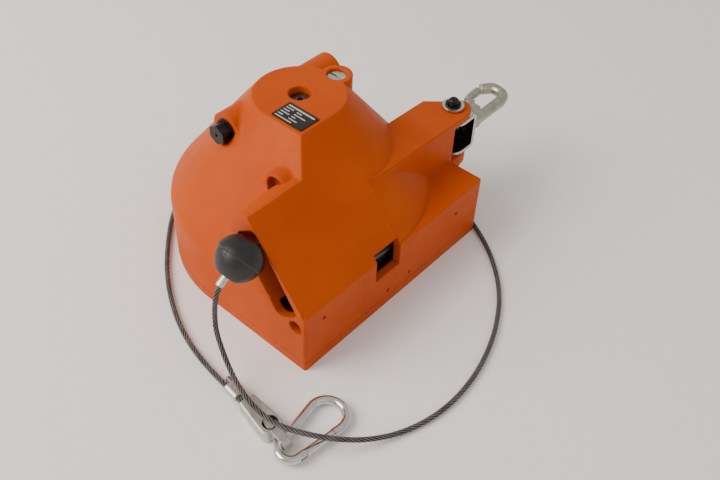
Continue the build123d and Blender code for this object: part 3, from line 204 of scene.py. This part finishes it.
PRINT_T, ROW_PITCH, MARGIN, INK_CORNER = 0.00004, 0.0026, 0.0018, 0.0003
HEADING_INSET, HEADING_HALF, TEXT_HALF, CORNER_POINTS = 0.0008, 0.0007, 0.00045, 4
# Each row's bars, as shares of the printed length.
ROWS = [((0.0, 1.0),), ((0.0, 0.30), (0.42, 0.62)), ((0.0, 0.24), (0.42, 0.86)),
        ((0.0, 0.34), (0.42, 0.58)), ((0.0, 0.20), (0.42, 0.74)), ((0.0, 0.64),)]


def rounded_bar(verts, faces, x0, x1, y0, y1, z0, z1):
    """Adds a low printed bar with round corners to the lists of a mesh."""
    ring = []
    for cx, cy, first in ((x1, y1, 0), (x0, y1, 90), (x0, y0, 180), (x1, y0, 270)):
        inside_x = cx - INK_CORNER if cx == x1 else cx + INK_CORNER
        inside_y = cy - INK_CORNER if cy == y1 else cy + INK_CORNER
        for k in range(CORNER_POINTS):
            a = radians(first + 90 * k / (CORNER_POINTS - 1))
            ring.append((inside_x + INK_CORNER * cos(a), inside_y + INK_CORNER * sin(a)))
    start, count = len(verts), len(ring)
    verts += [(x, y, z) for z in (z0, z1) for x, y in ring]
    faces.append(tuple(start + count + i for i in range(count)))
    faces.append(tuple(start + i for i in reversed(range(count))))
    for i in range(count):
        j = (i + 1) % count
        faces.append((start + i, start + j, start + count + j, start + count + i))


plate_low, plate_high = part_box("nameplate")
print_top = plate_high[2] + PRINT_T
print_length = plate_high[1] - plate_low[1] - 2 * MARGIN
verts, faces = [], []
for i, row in enumerate(ROWS):
    x_mid = plate_high[0] - MARGIN - HEADING_INSET - i * ROW_PITCH
    half = HEADING_HALF if i == 0 else TEXT_HALF
    for start, end in row:
        y_high = plate_high[1] - MARGIN - start * print_length
        y_low = plate_high[1] - MARGIN - end * print_length
        rounded_bar(verts, faces, x_mid - half, x_mid + half, y_low, y_high,
                    plate_high[2] - PRINT_T, print_top)
print_mesh = bpy.data.meshes.new("plate_printing")
print_mesh.from_pydata(verts, [], faces)
print_mesh.materials.append(ink)
printing = bpy.data.objects.new("plate_printing", print_mesh)
bpy.context.scene.collection.objects.link(printing)
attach(printing, "case")

# ---- plated steel -------------------------------------------------------------------------------------
# Turned and stamped steel parts, bright zinc plated: screws, the washer, the lock bolt, plug and pins.
# Zinc gives a cool light grey with small clouds of duller plating and fine handling scratches.
zinc, tree = new_material("bright_zinc_plated_steel")
spot = add_node(tree, "TexCoord").outputs["Object"]
clouds = add_node(tree, "TexNoise", {"Scale": scale_for(4.17), "Detail": 4.0}, {"Vector": spot})
drawn = add_node(tree, "Mapping", {"Scale": [scale_for(w) for w in (3.33, 0.357, 3.33)],
                                   "Rotation": (0.0, 0.4, 0.9)}, {"Vector": spot})
scratches = add_node(tree, "TexNoise", {"Scale": 1.0, "Detail": 3.0}, {"Vector": drawn.outputs["Vector"]})
rounded = add_node(tree, "Bevel", {"samples": 4, "Radius": 0.0003})
bump = add_node(tree, "Bump", {"Strength": 0.18, "Distance": 0.00004},
                {"Height": scratches.outputs["Fac"], "Normal": rounded.outputs["Normal"]})
gloss = add_node(tree, "MapRange", {"From Min": 0.3, "From Max": 0.7, "To Min": 0.20, "To Max": 0.38},
                 {"Value": clouds.outputs["Fac"]})
colour = add_node(tree, "ValToRGB", {"stops": ((0.3, "#C2C1B8"), (0.7, "#D6D5CD"))},
                  {"Fac": clouds.outputs["Fac"]})
skin = add_node(tree, "BsdfPrincipled", {"Metallic": 1.0},
                {"Base Color": colour.outputs["Color"],
                 "Roughness": gloss.outputs["Result"], "Normal": bump.outputs["Normal"]})
add_node(tree, "OutputMaterial", links={"Surface": skin.outputs["BSDF"]})
dress(zinc, "cover_screws", "catch_ring_screws", "spring_cover_screws", "stopper_screws", "pin_washer",
      "drum_lock_bolt", "worm_bore_plug", "latch_pin", "gate_pin")

# ---- wedge clamp --------------------------------------------------------------------------------------
# A shell pressed from steel sheet with a loose wedge in it that grips the rope, both tumbled after
# pressing and then zinc plated, so the plating is satin, with soft clouds and no scratches.
satin, tree = new_material("satin_zinc_plated_sheet")
spot = add_node(tree, "TexCoord").outputs["Object"]
clouds = add_node(tree, "TexNoise", {"Scale": scale_for(5.56), "Detail": 3.0}, {"Vector": spot})
rounded = add_node(tree, "Bevel", {"samples": 4, "Radius": 0.0006})
bump = add_node(tree, "Bump", {"Strength": 0.12, "Distance": 0.00006},
                {"Height": clouds.outputs["Fac"], "Normal": rounded.outputs["Normal"]})
gloss = add_node(tree, "MapRange", {"To Min": 0.42, "To Max": 0.60}, {"Value": clouds.outputs["Fac"]})
colour = add_node(tree, "ValToRGB", {"stops": ((0.3, "#BDBCB4"), (0.7, "#D0CFC8"))},
                  {"Fac": clouds.outputs["Fac"]})
skin = add_node(tree, "BsdfPrincipled", {"Metallic": 1.0},
                {"Base Color": colour.outputs["Color"],
                 "Roughness": gloss.outputs["Result"], "Normal": bump.outputs["Normal"]})
add_node(tree, "OutputMaterial", links={"Surface": skin.outputs["BSDF"]})
dress(satin, "wedge_clamp", "clamp_wedge")

# ---- pressed sleeve and ferrule -----------------------------------------------------------------------
# A sleeve that closes the rope's end loop and a ferrule under the stopper, both soft aluminium pressed on
# the rope in a die: pale and matt, with shallow dents from the die.
aluminium, tree = new_material("pressed_soft_aluminium")
spot = add_node(tree, "TexCoord").outputs["Object"]
dents = add_node(tree, "TexNoise", {"Scale": scale_for(2.38), "Detail": 2.0}, {"Vector": spot})
bump = add_node(tree, "Bump", {"Strength": 0.5, "Distance": 0.00025}, {"Height": dents.outputs["Fac"]})
gloss = add_node(tree, "MapRange", {"To Min": 0.30, "To Max": 0.52}, {"Value": dents.outputs["Fac"]})
colour = add_node(tree, "ValToRGB", {"stops": ((0.25, "#B9B7B0"), (0.7, "#DDDBD5"))},
                  {"Fac": dents.outputs["Fac"]})
skin = add_node(tree, "BsdfPrincipled", {"Metallic": 1.0},
                {"Base Color": colour.outputs["Color"],
                 "Roughness": gloss.outputs["Result"], "Normal": bump.outputs["Normal"]})
add_node(tree, "OutputMaterial", links={"Surface": skin.outputs["BSDF"]})
dress(aluminium, "crimp_sleeve", "stop_ferrule")

# ---- blackened steel ----------------------------------------------------------------------------------
# The adjusting hexagon, the suspension pin and its clip are turned steel, blackened in a hot oxide bath
# and oiled: near black and faintly glossy. The hook's nut is zinc plated, but it takes this near-black
# finish as painted shade, since it sits in the shade inside the bracket.
blackened, tree = new_material("oiled_black_oxide_steel")
spot = add_node(tree, "TexCoord").outputs["Object"]
patchy = add_node(tree, "TexNoise", {"Scale": scale_for(2.63), "Detail": 4.0}, {"Vector": spot})
rounded = add_node(tree, "Bevel", {"samples": 4, "Radius": 0.0004})
bump = add_node(tree, "Bump", {"Strength": 0.2, "Distance": 0.00006},
                {"Height": patchy.outputs["Fac"], "Normal": rounded.outputs["Normal"]})
gloss = add_node(tree, "MapRange", {"To Min": 0.26, "To Max": 0.46}, {"Value": patchy.outputs["Fac"]})
colour = add_node(tree, "ValToRGB", {"stops": ((0.3, "#161517"), (0.75, "#2C2A2B"))},
                  {"Fac": patchy.outputs["Fac"]})
skin = add_node(tree, "BsdfPrincipled", {"Metallic": 0.6},
                {"Base Color": colour.outputs["Color"],
                 "Roughness": gloss.outputs["Result"], "Normal": bump.outputs["Normal"]})
add_node(tree, "OutputMaterial", links={"Surface": skin.outputs["BSDF"]})
# The hook's nut gets this near-black finish as painted shade.
dress(blackened, "tension_hex", "suspension_pin", "pin_clip", "swivel_nut")

# ---- hook and its latch -------------------------------------------------------------------------------
# Drop-forged hook, hot-dip galvanised: a dull silver, crystals of about 3 mm and a slightly uneven skin,
# with a warm olive cast that is a painted reflection of the warm surroundings. The latch is bent from the
# same stock.
galvanised, tree = new_material("galvanised_forged_steel")
spot = add_node(tree, "TexCoord").outputs["Object"]
crystals = add_node(tree, "TexVoronoi", {"Scale": scale_for(3.03)}, {"Vector": spot})
skin_noise = add_node(tree, "TexNoise", {"Scale": scale_for(2.0), "Detail": 4.0}, {"Vector": spot})
rounded = add_node(tree, "Bevel", {"samples": 4, "Radius": 0.0012})
bump = add_node(tree, "Bump", {"Strength": 0.35, "Distance": 0.00015},
                {"Height": skin_noise.outputs["Fac"], "Normal": rounded.outputs["Normal"]})
gloss = add_node(tree, "MapRange", {"From Min": 0.3, "From Max": 0.7, "To Min": 0.28, "To Max": 0.48},
                 {"Value": skin_noise.outputs["Fac"]})
crystal_tone = add_node(tree, "SeparateXYZ", links={"Vector": crystals.outputs["Color"]})
# The warm olive cast of these greys is a painted reflection of the surroundings.
colour = add_node(tree, "ValToRGB", {"stops": ((0.0, "#A19F92"), (1.0, "#B5B3A6"))},
                  {"Fac": crystal_tone.outputs["X"]})
skin = add_node(tree, "BsdfPrincipled", {"Metallic": 0.95},
                {"Base Color": colour.outputs["Color"],
                 "Roughness": gloss.outputs["Result"], "Normal": bump.outputs["Normal"]})
add_node(tree, "OutputMaterial", links={"Surface": skin.outputs["BSDF"]})
dress(galvanised, "swivel_hook", "hook_latch")

# ---- suspension bracket -------------------------------------------------------------------------------
# Bent strip between the ears, zinc plated. The inside, where the hook's nut turns, is given a near-black
# colour as painted shade, so it looks black between two bright edges.
STRIP_T, EDGE_ALLOWANCE = 0.0030, 0.0001
bracket_with_painted_shade, tree = new_material("zinc_plated_strip_with_painted_shade_inside")
spot = add_node(tree, "TexCoord").outputs["Object"]
bracket_low, bracket_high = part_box("suspension_bracket")
to_local = nodes["suspension_bracket"].matrix_world.inverted()
inside_low = to_local @ Vector((bracket_low[0], bracket_low[1],
                                bracket_low[2] + STRIP_T - EDGE_ALLOWANCE))
inside_high = to_local @ Vector((bracket_high[0] - STRIP_T + EDGE_ALLOWANCE, bracket_high[1],
                                 bracket_high[2] - STRIP_T + EDGE_ALLOWANCE))
# Mask of the strip's inner faces, which get the painted shade.
at = add_node(tree, "SeparateXYZ", links={"Vector": spot})
above = add_node(tree, "Math", {"operation": "GREATER_THAN", 1: inside_low.z}, {0: at.outputs["Z"]})
below = add_node(tree, "Math", {"operation": "LESS_THAN", 1: inside_high.z}, {0: at.outputs["Z"]})
behind = add_node(tree, "Math", {"operation": "LESS_THAN", 1: inside_high.x}, {0: at.outputs["X"]})
between = add_node(tree, "Math", {"operation": "MULTIPLY"},
                   {0: above.outputs["Value"], 1: below.outputs["Value"]})
painted_shade_mask = add_node(tree, "Math", {"operation": "MULTIPLY"},
                  {0: between.outputs["Value"], 1: behind.outputs["Value"]})
lumps = add_node(tree, "TexNoise", {"Scale": scale_for(2.38), "Detail": 4.0}, {"Vector": spot})
plating = add_node(tree, "ValToRGB", {"stops": ((0.3, "#B9B8B2"), (0.7, "#DAD9D3"))},
                   {"Fac": lumps.outputs["Fac"]})
# Near-black painted shade for the inside of the bracket.
painted_shade_colour = add_node(tree, "ValToRGB", {"stops": ((0.35, "#0F0E0E"), (0.75, "#2A2725"))},
                  {"Fac": lumps.outputs["Fac"]})
colour = add_node(tree, "MixRGB", links={"Fac": painted_shade_mask.outputs["Value"],
                                         "Color1": plating.outputs["Color"],
                                         "Color2": painted_shade_colour.outputs["Color"]})
metal_outside_painted_shade = add_node(tree, "Math", {"operation": "SUBTRACT", 0: 1.0}, {1: painted_shade_mask.outputs["Value"]})
gloss = add_node(tree, "MapRange", {"To Min": 0.25, "To Max": 0.42}, {"Value": lumps.outputs["Fac"]})
bump = add_node(tree, "Bump", {"Strength": 0.3, "Distance": 0.0002}, {"Height": lumps.outputs["Fac"]})
skin = add_node(tree, "BsdfPrincipled",
                links={"Base Color": colour.outputs["Color"], "Metallic": metal_outside_painted_shade.outputs["Value"],
                       "Roughness": gloss.outputs["Result"], "Normal": bump.outputs["Normal"]})
add_node(tree, "OutputMaterial", links={"Surface": skin.outputs["BSDF"]})
dress(bracket_with_painted_shade, "suspension_bracket")

# ---- snap link ----------------------------------------------------------------------------------------
# Bent round steel with a sprung gate on a pin, bright nickel-chrome plated: almost a mirror, with fine
# rubbed scratches.
chrome, tree = new_material("nickel_chrome_plated_steel")
spot = add_node(tree, "TexCoord").outputs["Object"]
rubbed = add_node(tree, "Mapping", {"Scale": [scale_for(w) for w in (2.86, 0.417, 1.11)],
                                    "Rotation": (0.3, 0.0, 0.6)}, {"Vector": spot})
scratches = add_node(tree, "TexNoise", {"Scale": 1.0, "Detail": 4.0}, {"Vector": rubbed.outputs["Vector"]})
bump = add_node(tree, "Bump", {"Strength": 0.1, "Distance": 0.00003}, {"Height": scratches.outputs["Fac"]})
gloss = add_node(tree, "MapRange", {"From Min": 0.35, "From Max": 0.7, "To Min": 0.09, "To Max": 0.24},
                 {"Value": scratches.outputs["Fac"]})
colour = add_node(tree, "ValToRGB", {"stops": ((0.2, "#C4C4BF"), (0.8, "#DEDEDA"))},
                  {"Fac": scratches.outputs["Fac"]})
skin = add_node(tree, "BsdfPrincipled", {"Metallic": 1.0},
                {"Base Color": colour.outputs["Color"],
                 "Roughness": gloss.outputs["Result"], "Normal": bump.outputs["Normal"]})
add_node(tree, "OutputMaterial", links={"Surface": skin.outputs["BSDF"]})
dress(chrome, "snap_link", "snap_link_gate")

# ---- stopper ------------------------------------------------------------------------------------------
# Two halves moulded in black nylon and screwed together on the rope: dark with a faint brown cast, a
# fine mould texture and a soft sheen.
nylon, tree = new_material("moulded_black_nylon")
spot = add_node(tree, "TexCoord").outputs["Object"]
texture = add_node(tree, "TexNoise", {"Scale": scale_for(0.714), "Detail": 3.0}, {"Vector": spot})
dust = add_node(tree, "TexNoise", {"Scale": scale_for(7.69), "Detail": 5.0, "Roughness": 0.65},
                {"Vector": spot})
rounded = add_node(tree, "Bevel", {"samples": 4, "Radius": 0.0005})
bump = add_node(tree, "Bump", {"Strength": 0.2, "Distance": 0.00006},
                {"Height": texture.outputs["Fac"], "Normal": rounded.outputs["Normal"]})
gloss = add_node(tree, "MapRange", {"From Min": 0.3, "From Max": 0.7, "To Min": 0.34, "To Max": 0.52},
                 {"Value": dust.outputs["Fac"]})
colour = add_node(tree, "ValToRGB", {"stops": ((0.35, "#110F0E"), (0.75, "#1D1918"))},
                  {"Fac": dust.outputs["Fac"]})
skin = add_node(tree, "BsdfPrincipled", {"IOR": 1.53},
                {"Base Color": colour.outputs["Color"],
                 "Roughness": gloss.outputs["Result"], "Normal": bump.outputs["Normal"]})
add_node(tree, "OutputMaterial", links={"Surface": skin.outputs["BSDF"]})
dress(nylon, "stopper_half_left", "stopper_half_right")

# ---- drum, spring and bearings inside the case --------------------------------------------------------
# Cast, turned and ground parts that the case hides, held by screws, keys and bushes. The drum is an
# unpainted aluminium casting: dull grey with a sandy skin.
cast, tree = new_material("raw_cast_aluminium")
spot = add_node(tree, "TexCoord").outputs["Object"]
sand = add_node(tree, "TexNoise", {"Scale": scale_for(1.11), "Detail": 5.0}, {"Vector": spot})
bump = add_node(tree, "Bump", {"Strength": 0.5, "Distance": 0.0002}, {"Height": sand.outputs["Fac"]})
gloss = add_node(tree, "MapRange", {"To Min": 0.45, "To Max": 0.68}, {"Value": sand.outputs["Fac"]})
colour = add_node(tree, "ValToRGB", {"stops": ((0.3, "#85847F"), (0.7, "#AFAEA8"))},
                  {"Fac": sand.outputs["Fac"]})
skin = add_node(tree, "BsdfPrincipled", {"Metallic": 1.0},
                {"Base Color": colour.outputs["Color"],
                 "Roughness": gloss.outputs["Result"], "Normal": bump.outputs["Normal"]})
add_node(tree, "OutputMaterial", links={"Surface": skin.outputs["BSDF"]})
dress(cast, "rope_drum")

# Hardened and ground steel parts turn blue-grey and are kept oiled.
ground, tree = new_material("hardened_oiled_steel")
spot = add_node(tree, "TexCoord").outputs["Object"]
turned = add_node(tree, "Mapping", {"Scale": [scale_for(w) for w in (2.5, 2.5, 0.3125)]},
                  {"Vector": spot})
marks = add_node(tree, "TexNoise", {"Scale": 1.0, "Detail": 3.0}, {"Vector": turned.outputs["Vector"]})
bump = add_node(tree, "Bump", {"Strength": 0.2, "Distance": 0.00005}, {"Height": marks.outputs["Fac"]})
gloss = add_node(tree, "MapRange", {"To Min": 0.22, "To Max": 0.42}, {"Value": marks.outputs["Fac"]})
colour = add_node(tree, "ValToRGB", {"stops": ((0.3, "#62646A"), (0.7, "#90939A"))},
                  {"Fac": marks.outputs["Fac"]})
skin = add_node(tree, "BsdfPrincipled", {"Metallic": 1.0},
                {"Base Color": colour.outputs["Color"],
                 "Roughness": gloss.outputs["Result"], "Normal": bump.outputs["Normal"]})
add_node(tree, "OutputMaterial", links={"Surface": skin.outputs["BSDF"]})
dress(ground, "mainspring", "catch_ring", "pawl_1", "pawl_2", "pawl_pins", "spring_cover", "spring_arbor",
      "wheel_key", "arbor_spacer", "worm_shaft", "drum_lower_bearing", "drum_upper_bearing")

# Bushes and the worm wheel are bronze: warm brown-gold with faint turning marks.
bronze, tree = new_material("turned_bronze")
spot = add_node(tree, "TexCoord").outputs["Object"]
turned = add_node(tree, "Mapping", {"Scale": [scale_for(w) for w in (2.0, 2.0, 0.385)]},
                  {"Vector": spot})
marks = add_node(tree, "TexNoise", {"Scale": 1.0, "Detail": 3.0}, {"Vector": turned.outputs["Vector"]})
bump = add_node(tree, "Bump", {"Strength": 0.2, "Distance": 0.00005}, {"Height": marks.outputs["Fac"]})
gloss = add_node(tree, "MapRange", {"To Min": 0.25, "To Max": 0.45}, {"Value": marks.outputs["Fac"]})
colour = add_node(tree, "ValToRGB", {"stops": ((0.3, "#8A6438"), (0.7, "#B98D55"))},
                  {"Fac": marks.outputs["Fac"]})
skin = add_node(tree, "BsdfPrincipled", {"Metallic": 1.0},
                {"Base Color": colour.outputs["Color"],
                 "Roughness": gloss.outputs["Result"], "Normal": bump.outputs["Normal"]})
add_node(tree, "OutputMaterial", links={"Surface": skin.outputs["BSDF"]})
dress(bronze, "arbor_upper_bush", "arbor_lower_bush", "worm_near_bush", "worm_far_bush", "worm_wheel")

# ---- rope ---------------------------------------------------------------------------------------------
# Galvanised steel wire rope, six strands laid round a core, dark with oil. It leaves the stopper's
# ferrule, drops to the floor, goes once round the case and ends in the wedge clamp.
ROPE_R = 0.0018
STRANDS, LAY_LENGTH, STRAND_R = 6, 0.021, 0.00066
ROUTE = [
    (-0.1144, -0.0508, 0.0800), (-0.1242, -0.0506, 0.0732), (-0.1264, -0.0494, 0.0615),
    (-0.1266, -0.0478, 0.0485), (-0.1276, -0.0486, 0.0356), (-0.1298, -0.0548, 0.0256),
    (-0.1339, -0.0656, 0.0189), (-0.1388, -0.0794, 0.0164), (-0.1424, -0.0945, 0.0159),
    (-0.1434, -0.1100, 0.0158), (-0.1398, -0.1238, 0.0154), (-0.1328, -0.1364, 0.0142),
    (-0.1234, -0.1486, 0.0114), (-0.1084, -0.1608, 0.0062), (-0.0880, -0.1718, 0.0022),
    (-0.0640, -0.1796, 0.0022), (-0.0370, -0.1814, 0.0022), (-0.0060, -0.1764, 0.0022),
    (0.0250, -0.1648, 0.0022), (0.0530, -0.1476, 0.0022), (0.0770, -0.1230, 0.0022),
    (0.0950, -0.0946, 0.0022), (0.1066, -0.0630, 0.0022), (0.1110, -0.0290, 0.0022),
    (0.1090, 0.0050, 0.0022), (0.1010, 0.0380, 0.0022), (0.0860, 0.0670, 0.0022),
    (0.0630, 0.0880, 0.0022), (0.0330, 0.1006, 0.0022), (0.0010, 0.1040, 0.0022),
    (-0.0305, 0.0992, 0.0022), (-0.0570, 0.0838, 0.0022), (-0.0780, 0.0634, 0.0022),
    (-0.0934, 0.0466, 0.0022), (-0.1048, 0.0316, 0.0022), (-0.1152, 0.0150, 0.0022),
    (-0.1244, -0.0034, 0.0022), (-0.1312, -0.0226, 0.0023), (-0.1352, -0.0410, 0.0028),
    (-0.1372, -0.0552, 0.0031), (-0.1385, -0.0696, 0.0036), (-0.1403, -0.0845, 0.0050),
]


def smooth_line(points):
    """Points read from one NURBS spline that has the given control points."""
    data = bpy.data.curves.new("route", "CURVE")
    data.dimensions = "3D"
    spline = data.splines.new("NURBS")
    spline.points.add(len(points) - 1)
    for knot, place in zip(spline.points, points):
        knot.co = (*place, 1.0)
    spline.order_u = 3
    spline.use_endpoint_u = True
    spline.resolution_u = 24
    holder = bpy.data.objects.new("route", data)
    bpy.context.scene.collection.objects.link(holder)
    line = bpy.data.meshes.new_from_object(holder)
    places = [v.co.copy() for v in line.vertices]
    bpy.data.objects.remove(holder)
    bpy.data.meshes.remove(line)
    return places


def even_steps(line, step):
    """The same line with its points a fixed step apart, and its whole length."""
    travelled = [0.0]
    for a, b in zip(line, line[1:]):
        travelled.append(travelled[-1] + (b - a).length)
    length, count = travelled[-1], max(2, round(travelled[-1] / step))
    places, i = [], 0
    for k in range(count + 1):
        want = length * k / count
        while i < len(line) - 2 and travelled[i + 1] < want:
            i += 1
        share = (want - travelled[i]) / max(1e-9, travelled[i + 1] - travelled[i])
        places.append(line[i].lerp(line[i + 1], min(1.0, max(0.0, share))))
    return places, length


def turning_frames(line):
    """A direction and a side vector at each point; the side vector never twists about the line."""
    side = (line[1] - line[0]).orthogonal().normalized()
    frames = []
    for i, place in enumerate(line):
        ahead = (line[min(i + 1, len(line) - 1)] - line[max(i - 1, 0)]).normalized()
        side = (side - ahead * side.dot(ahead)).normalized()
        frames.append((place, ahead, side))
    return frames


def laid_rope(name, points, body, step=0.0011, sides=9):
    """Mesh of a laid rope: strands that wind round the line, each a tube, over a smooth core."""
    line, length = even_steps(smooth_line(points), step)
    frames = turning_frames(line)
    verts, faces, wire_uv = [], [], []
    run = length / (len(line) - 1)
    lay_r = ROPE_R - STRAND_R
    for strand in range(STRANDS + 1):
        core = strand == STRANDS
        tube_r, offset = (lay_r - STRAND_R * 0.35, 0.0) if core else (STRAND_R, lay_r)
        first = len(verts)
        for k, (place, ahead, side) in enumerate(frames):
            lay = 2 * pi * (strand / STRANDS + k * run / LAY_LENGTH)
            out = Quaternion(ahead, lay) @ side
            centre = place + out * offset
            up = ahead.cross(out)
            for j in range(sides):
                a = 2 * pi * j / sides
                verts.append(centre + (out * cos(a) + up * sin(a)) * tube_r)
        rings = len(frames)
        for k in range(rings - 1):
            for j in range(sides):
                a, b = first + k * sides + j, first + k * sides + (j + 1) % sides
                faces.append((a, b, b + sides, a + sides))
                u0, u1 = j / sides, (j + 1) / sides
                v0, v1 = k * run, (k + 1) * run
                wire_uv.append(((u0, v0), (u1, v0), (u1, v1), (u0, v1)))
        for ring in (0, rings - 1):
            cap = [first + ring * sides + j for j in range(sides)]
            faces.append(tuple(reversed(cap)) if ring == 0 else tuple(cap))
            wire_uv.append(tuple((0.5, ring * run) for _ in cap))
    mesh = bpy.data.meshes.new(name)
    mesh.from_pydata(verts, [], faces)
    layer = mesh.uv_layers.new(name="wires")
    for face, corner_uv in zip(mesh.polygons, wire_uv):
        face.use_smooth = len(corner_uv) == 4
        for corner, uv in zip(face.loop_indices, corner_uv):
            layer.data[corner].uv = uv
    piece = bpy.data.objects.new(name, mesh)
    bpy.context.scene.collection.objects.link(piece)
    mesh.materials.append(oiled_wire)
    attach(piece, body)
    return piece, line, length


# Each strand shows its wires as fine slanted ridges, about 0.36 mm apart. Grey steel stands out on the
# The outside of each strand is lightened as a painted highlight, and the valleys between strands are
# darkened as painted shade.
WIRES_AROUND, WIRE_STEP = 7, 0.0004545
oiled_wire, tree = new_material("oiled_galvanised_wire_rope")
unrolled = add_node(tree, "SeparateXYZ", links={"Vector": add_node(tree, "TexCoord").outputs["UV"]})
around = add_node(tree, "Math", {"operation": "MULTIPLY", 1: WIRES_AROUND * 2 * pi},
                  {0: unrolled.outputs["X"]})
along = add_node(tree, "Math", {"operation": "MULTIPLY", 1: 2 * pi / WIRE_STEP}, {0: unrolled.outputs["Y"]})
phase = add_node(tree, "Math", {"operation": "ADD"},
                 {0: around.outputs["Value"], 1: along.outputs["Value"]})
ridge = add_node(tree, "Math", {"operation": "SINE"}, {0: phase.outputs["Value"]})
turn = add_node(tree, "Math", {"operation": "MULTIPLY", 1: 2 * pi}, {0: unrolled.outputs["X"]})
outward = add_node(tree, "Math", {"operation": "COSINE"}, {0: turn.outputs["Value"]})
spot = add_node(tree, "TexCoord").outputs["Object"]
grime = add_node(tree, "TexNoise", {"Scale": scale_for(6.25), "Detail": 4.0}, {"Vector": spot})
# Painted shade darkens each strand's sides where it meets its neighbours, and a painted highlight lightens
# its outward crown.
painted_strand_shade = add_node(tree, "MapRange", {"From Min": 0.2, "From Max": 1.0, "To Min": 0.0, "To Max": 0.75},
               {"Value": outward.outputs["Value"]})
shown = add_node(tree, "MapRange", {"From Min": 0.2, "From Max": 0.8, "To Min": -0.15, "To Max": 0.25},
                 {"Value": grime.outputs["Fac"]})
painted_shade_and_grime = add_node(tree, "Math", {"operation": "ADD"}, {0: painted_strand_shade.outputs["Result"], 1: shown.outputs["Result"]})
bump = add_node(tree, "Bump", {"Strength": 0.6, "Distance": 0.00012}, {"Height": ridge.outputs["Value"]})
rough = add_node(tree, "MapRange", {"To Min": 0.34, "To Max": 0.55}, {"Value": grime.outputs["Fac"]})
colour = add_node(tree, "ValToRGB", {"stops": ((0.15, "#1E1C1B"), (0.85, "#82807C"))},
                  {"Fac": painted_shade_and_grime.outputs["Value"]})
skin = add_node(tree, "BsdfPrincipled", {"Metallic": 0.75},
                {"Base Color": colour.outputs["Color"],
                 "Roughness": rough.outputs["Result"], "Normal": bump.outputs["Normal"]})
add_node(tree, "OutputMaterial", links={"Surface": skin.outputs["BSDF"]})
dress(oiled_wire, "rope_windings", "rope_end_loop")

rope, rope_line, rope_length = laid_rope("laid_rope", ROUTE, "case")
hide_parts("rope")

# The last stretch of the live rope runs straight from the drum through the slot into the stopper.
lead_low, lead_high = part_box("rope_lead")
lead_y, lead_z = (lead_low[1] + lead_high[1]) / 2, (lead_low[2] + lead_high[2]) / 2
LEAD_SPANS = 4
lead_points = [(lead_low[0] + (lead_high[0] - lead_low[0]) * i / LEAD_SPANS, lead_y, lead_z)
               for i in range(LEAD_SPANS + 1)]
lead = laid_rope("laid_rope_lead", lead_points, "case")[0]
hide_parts("rope_lead")
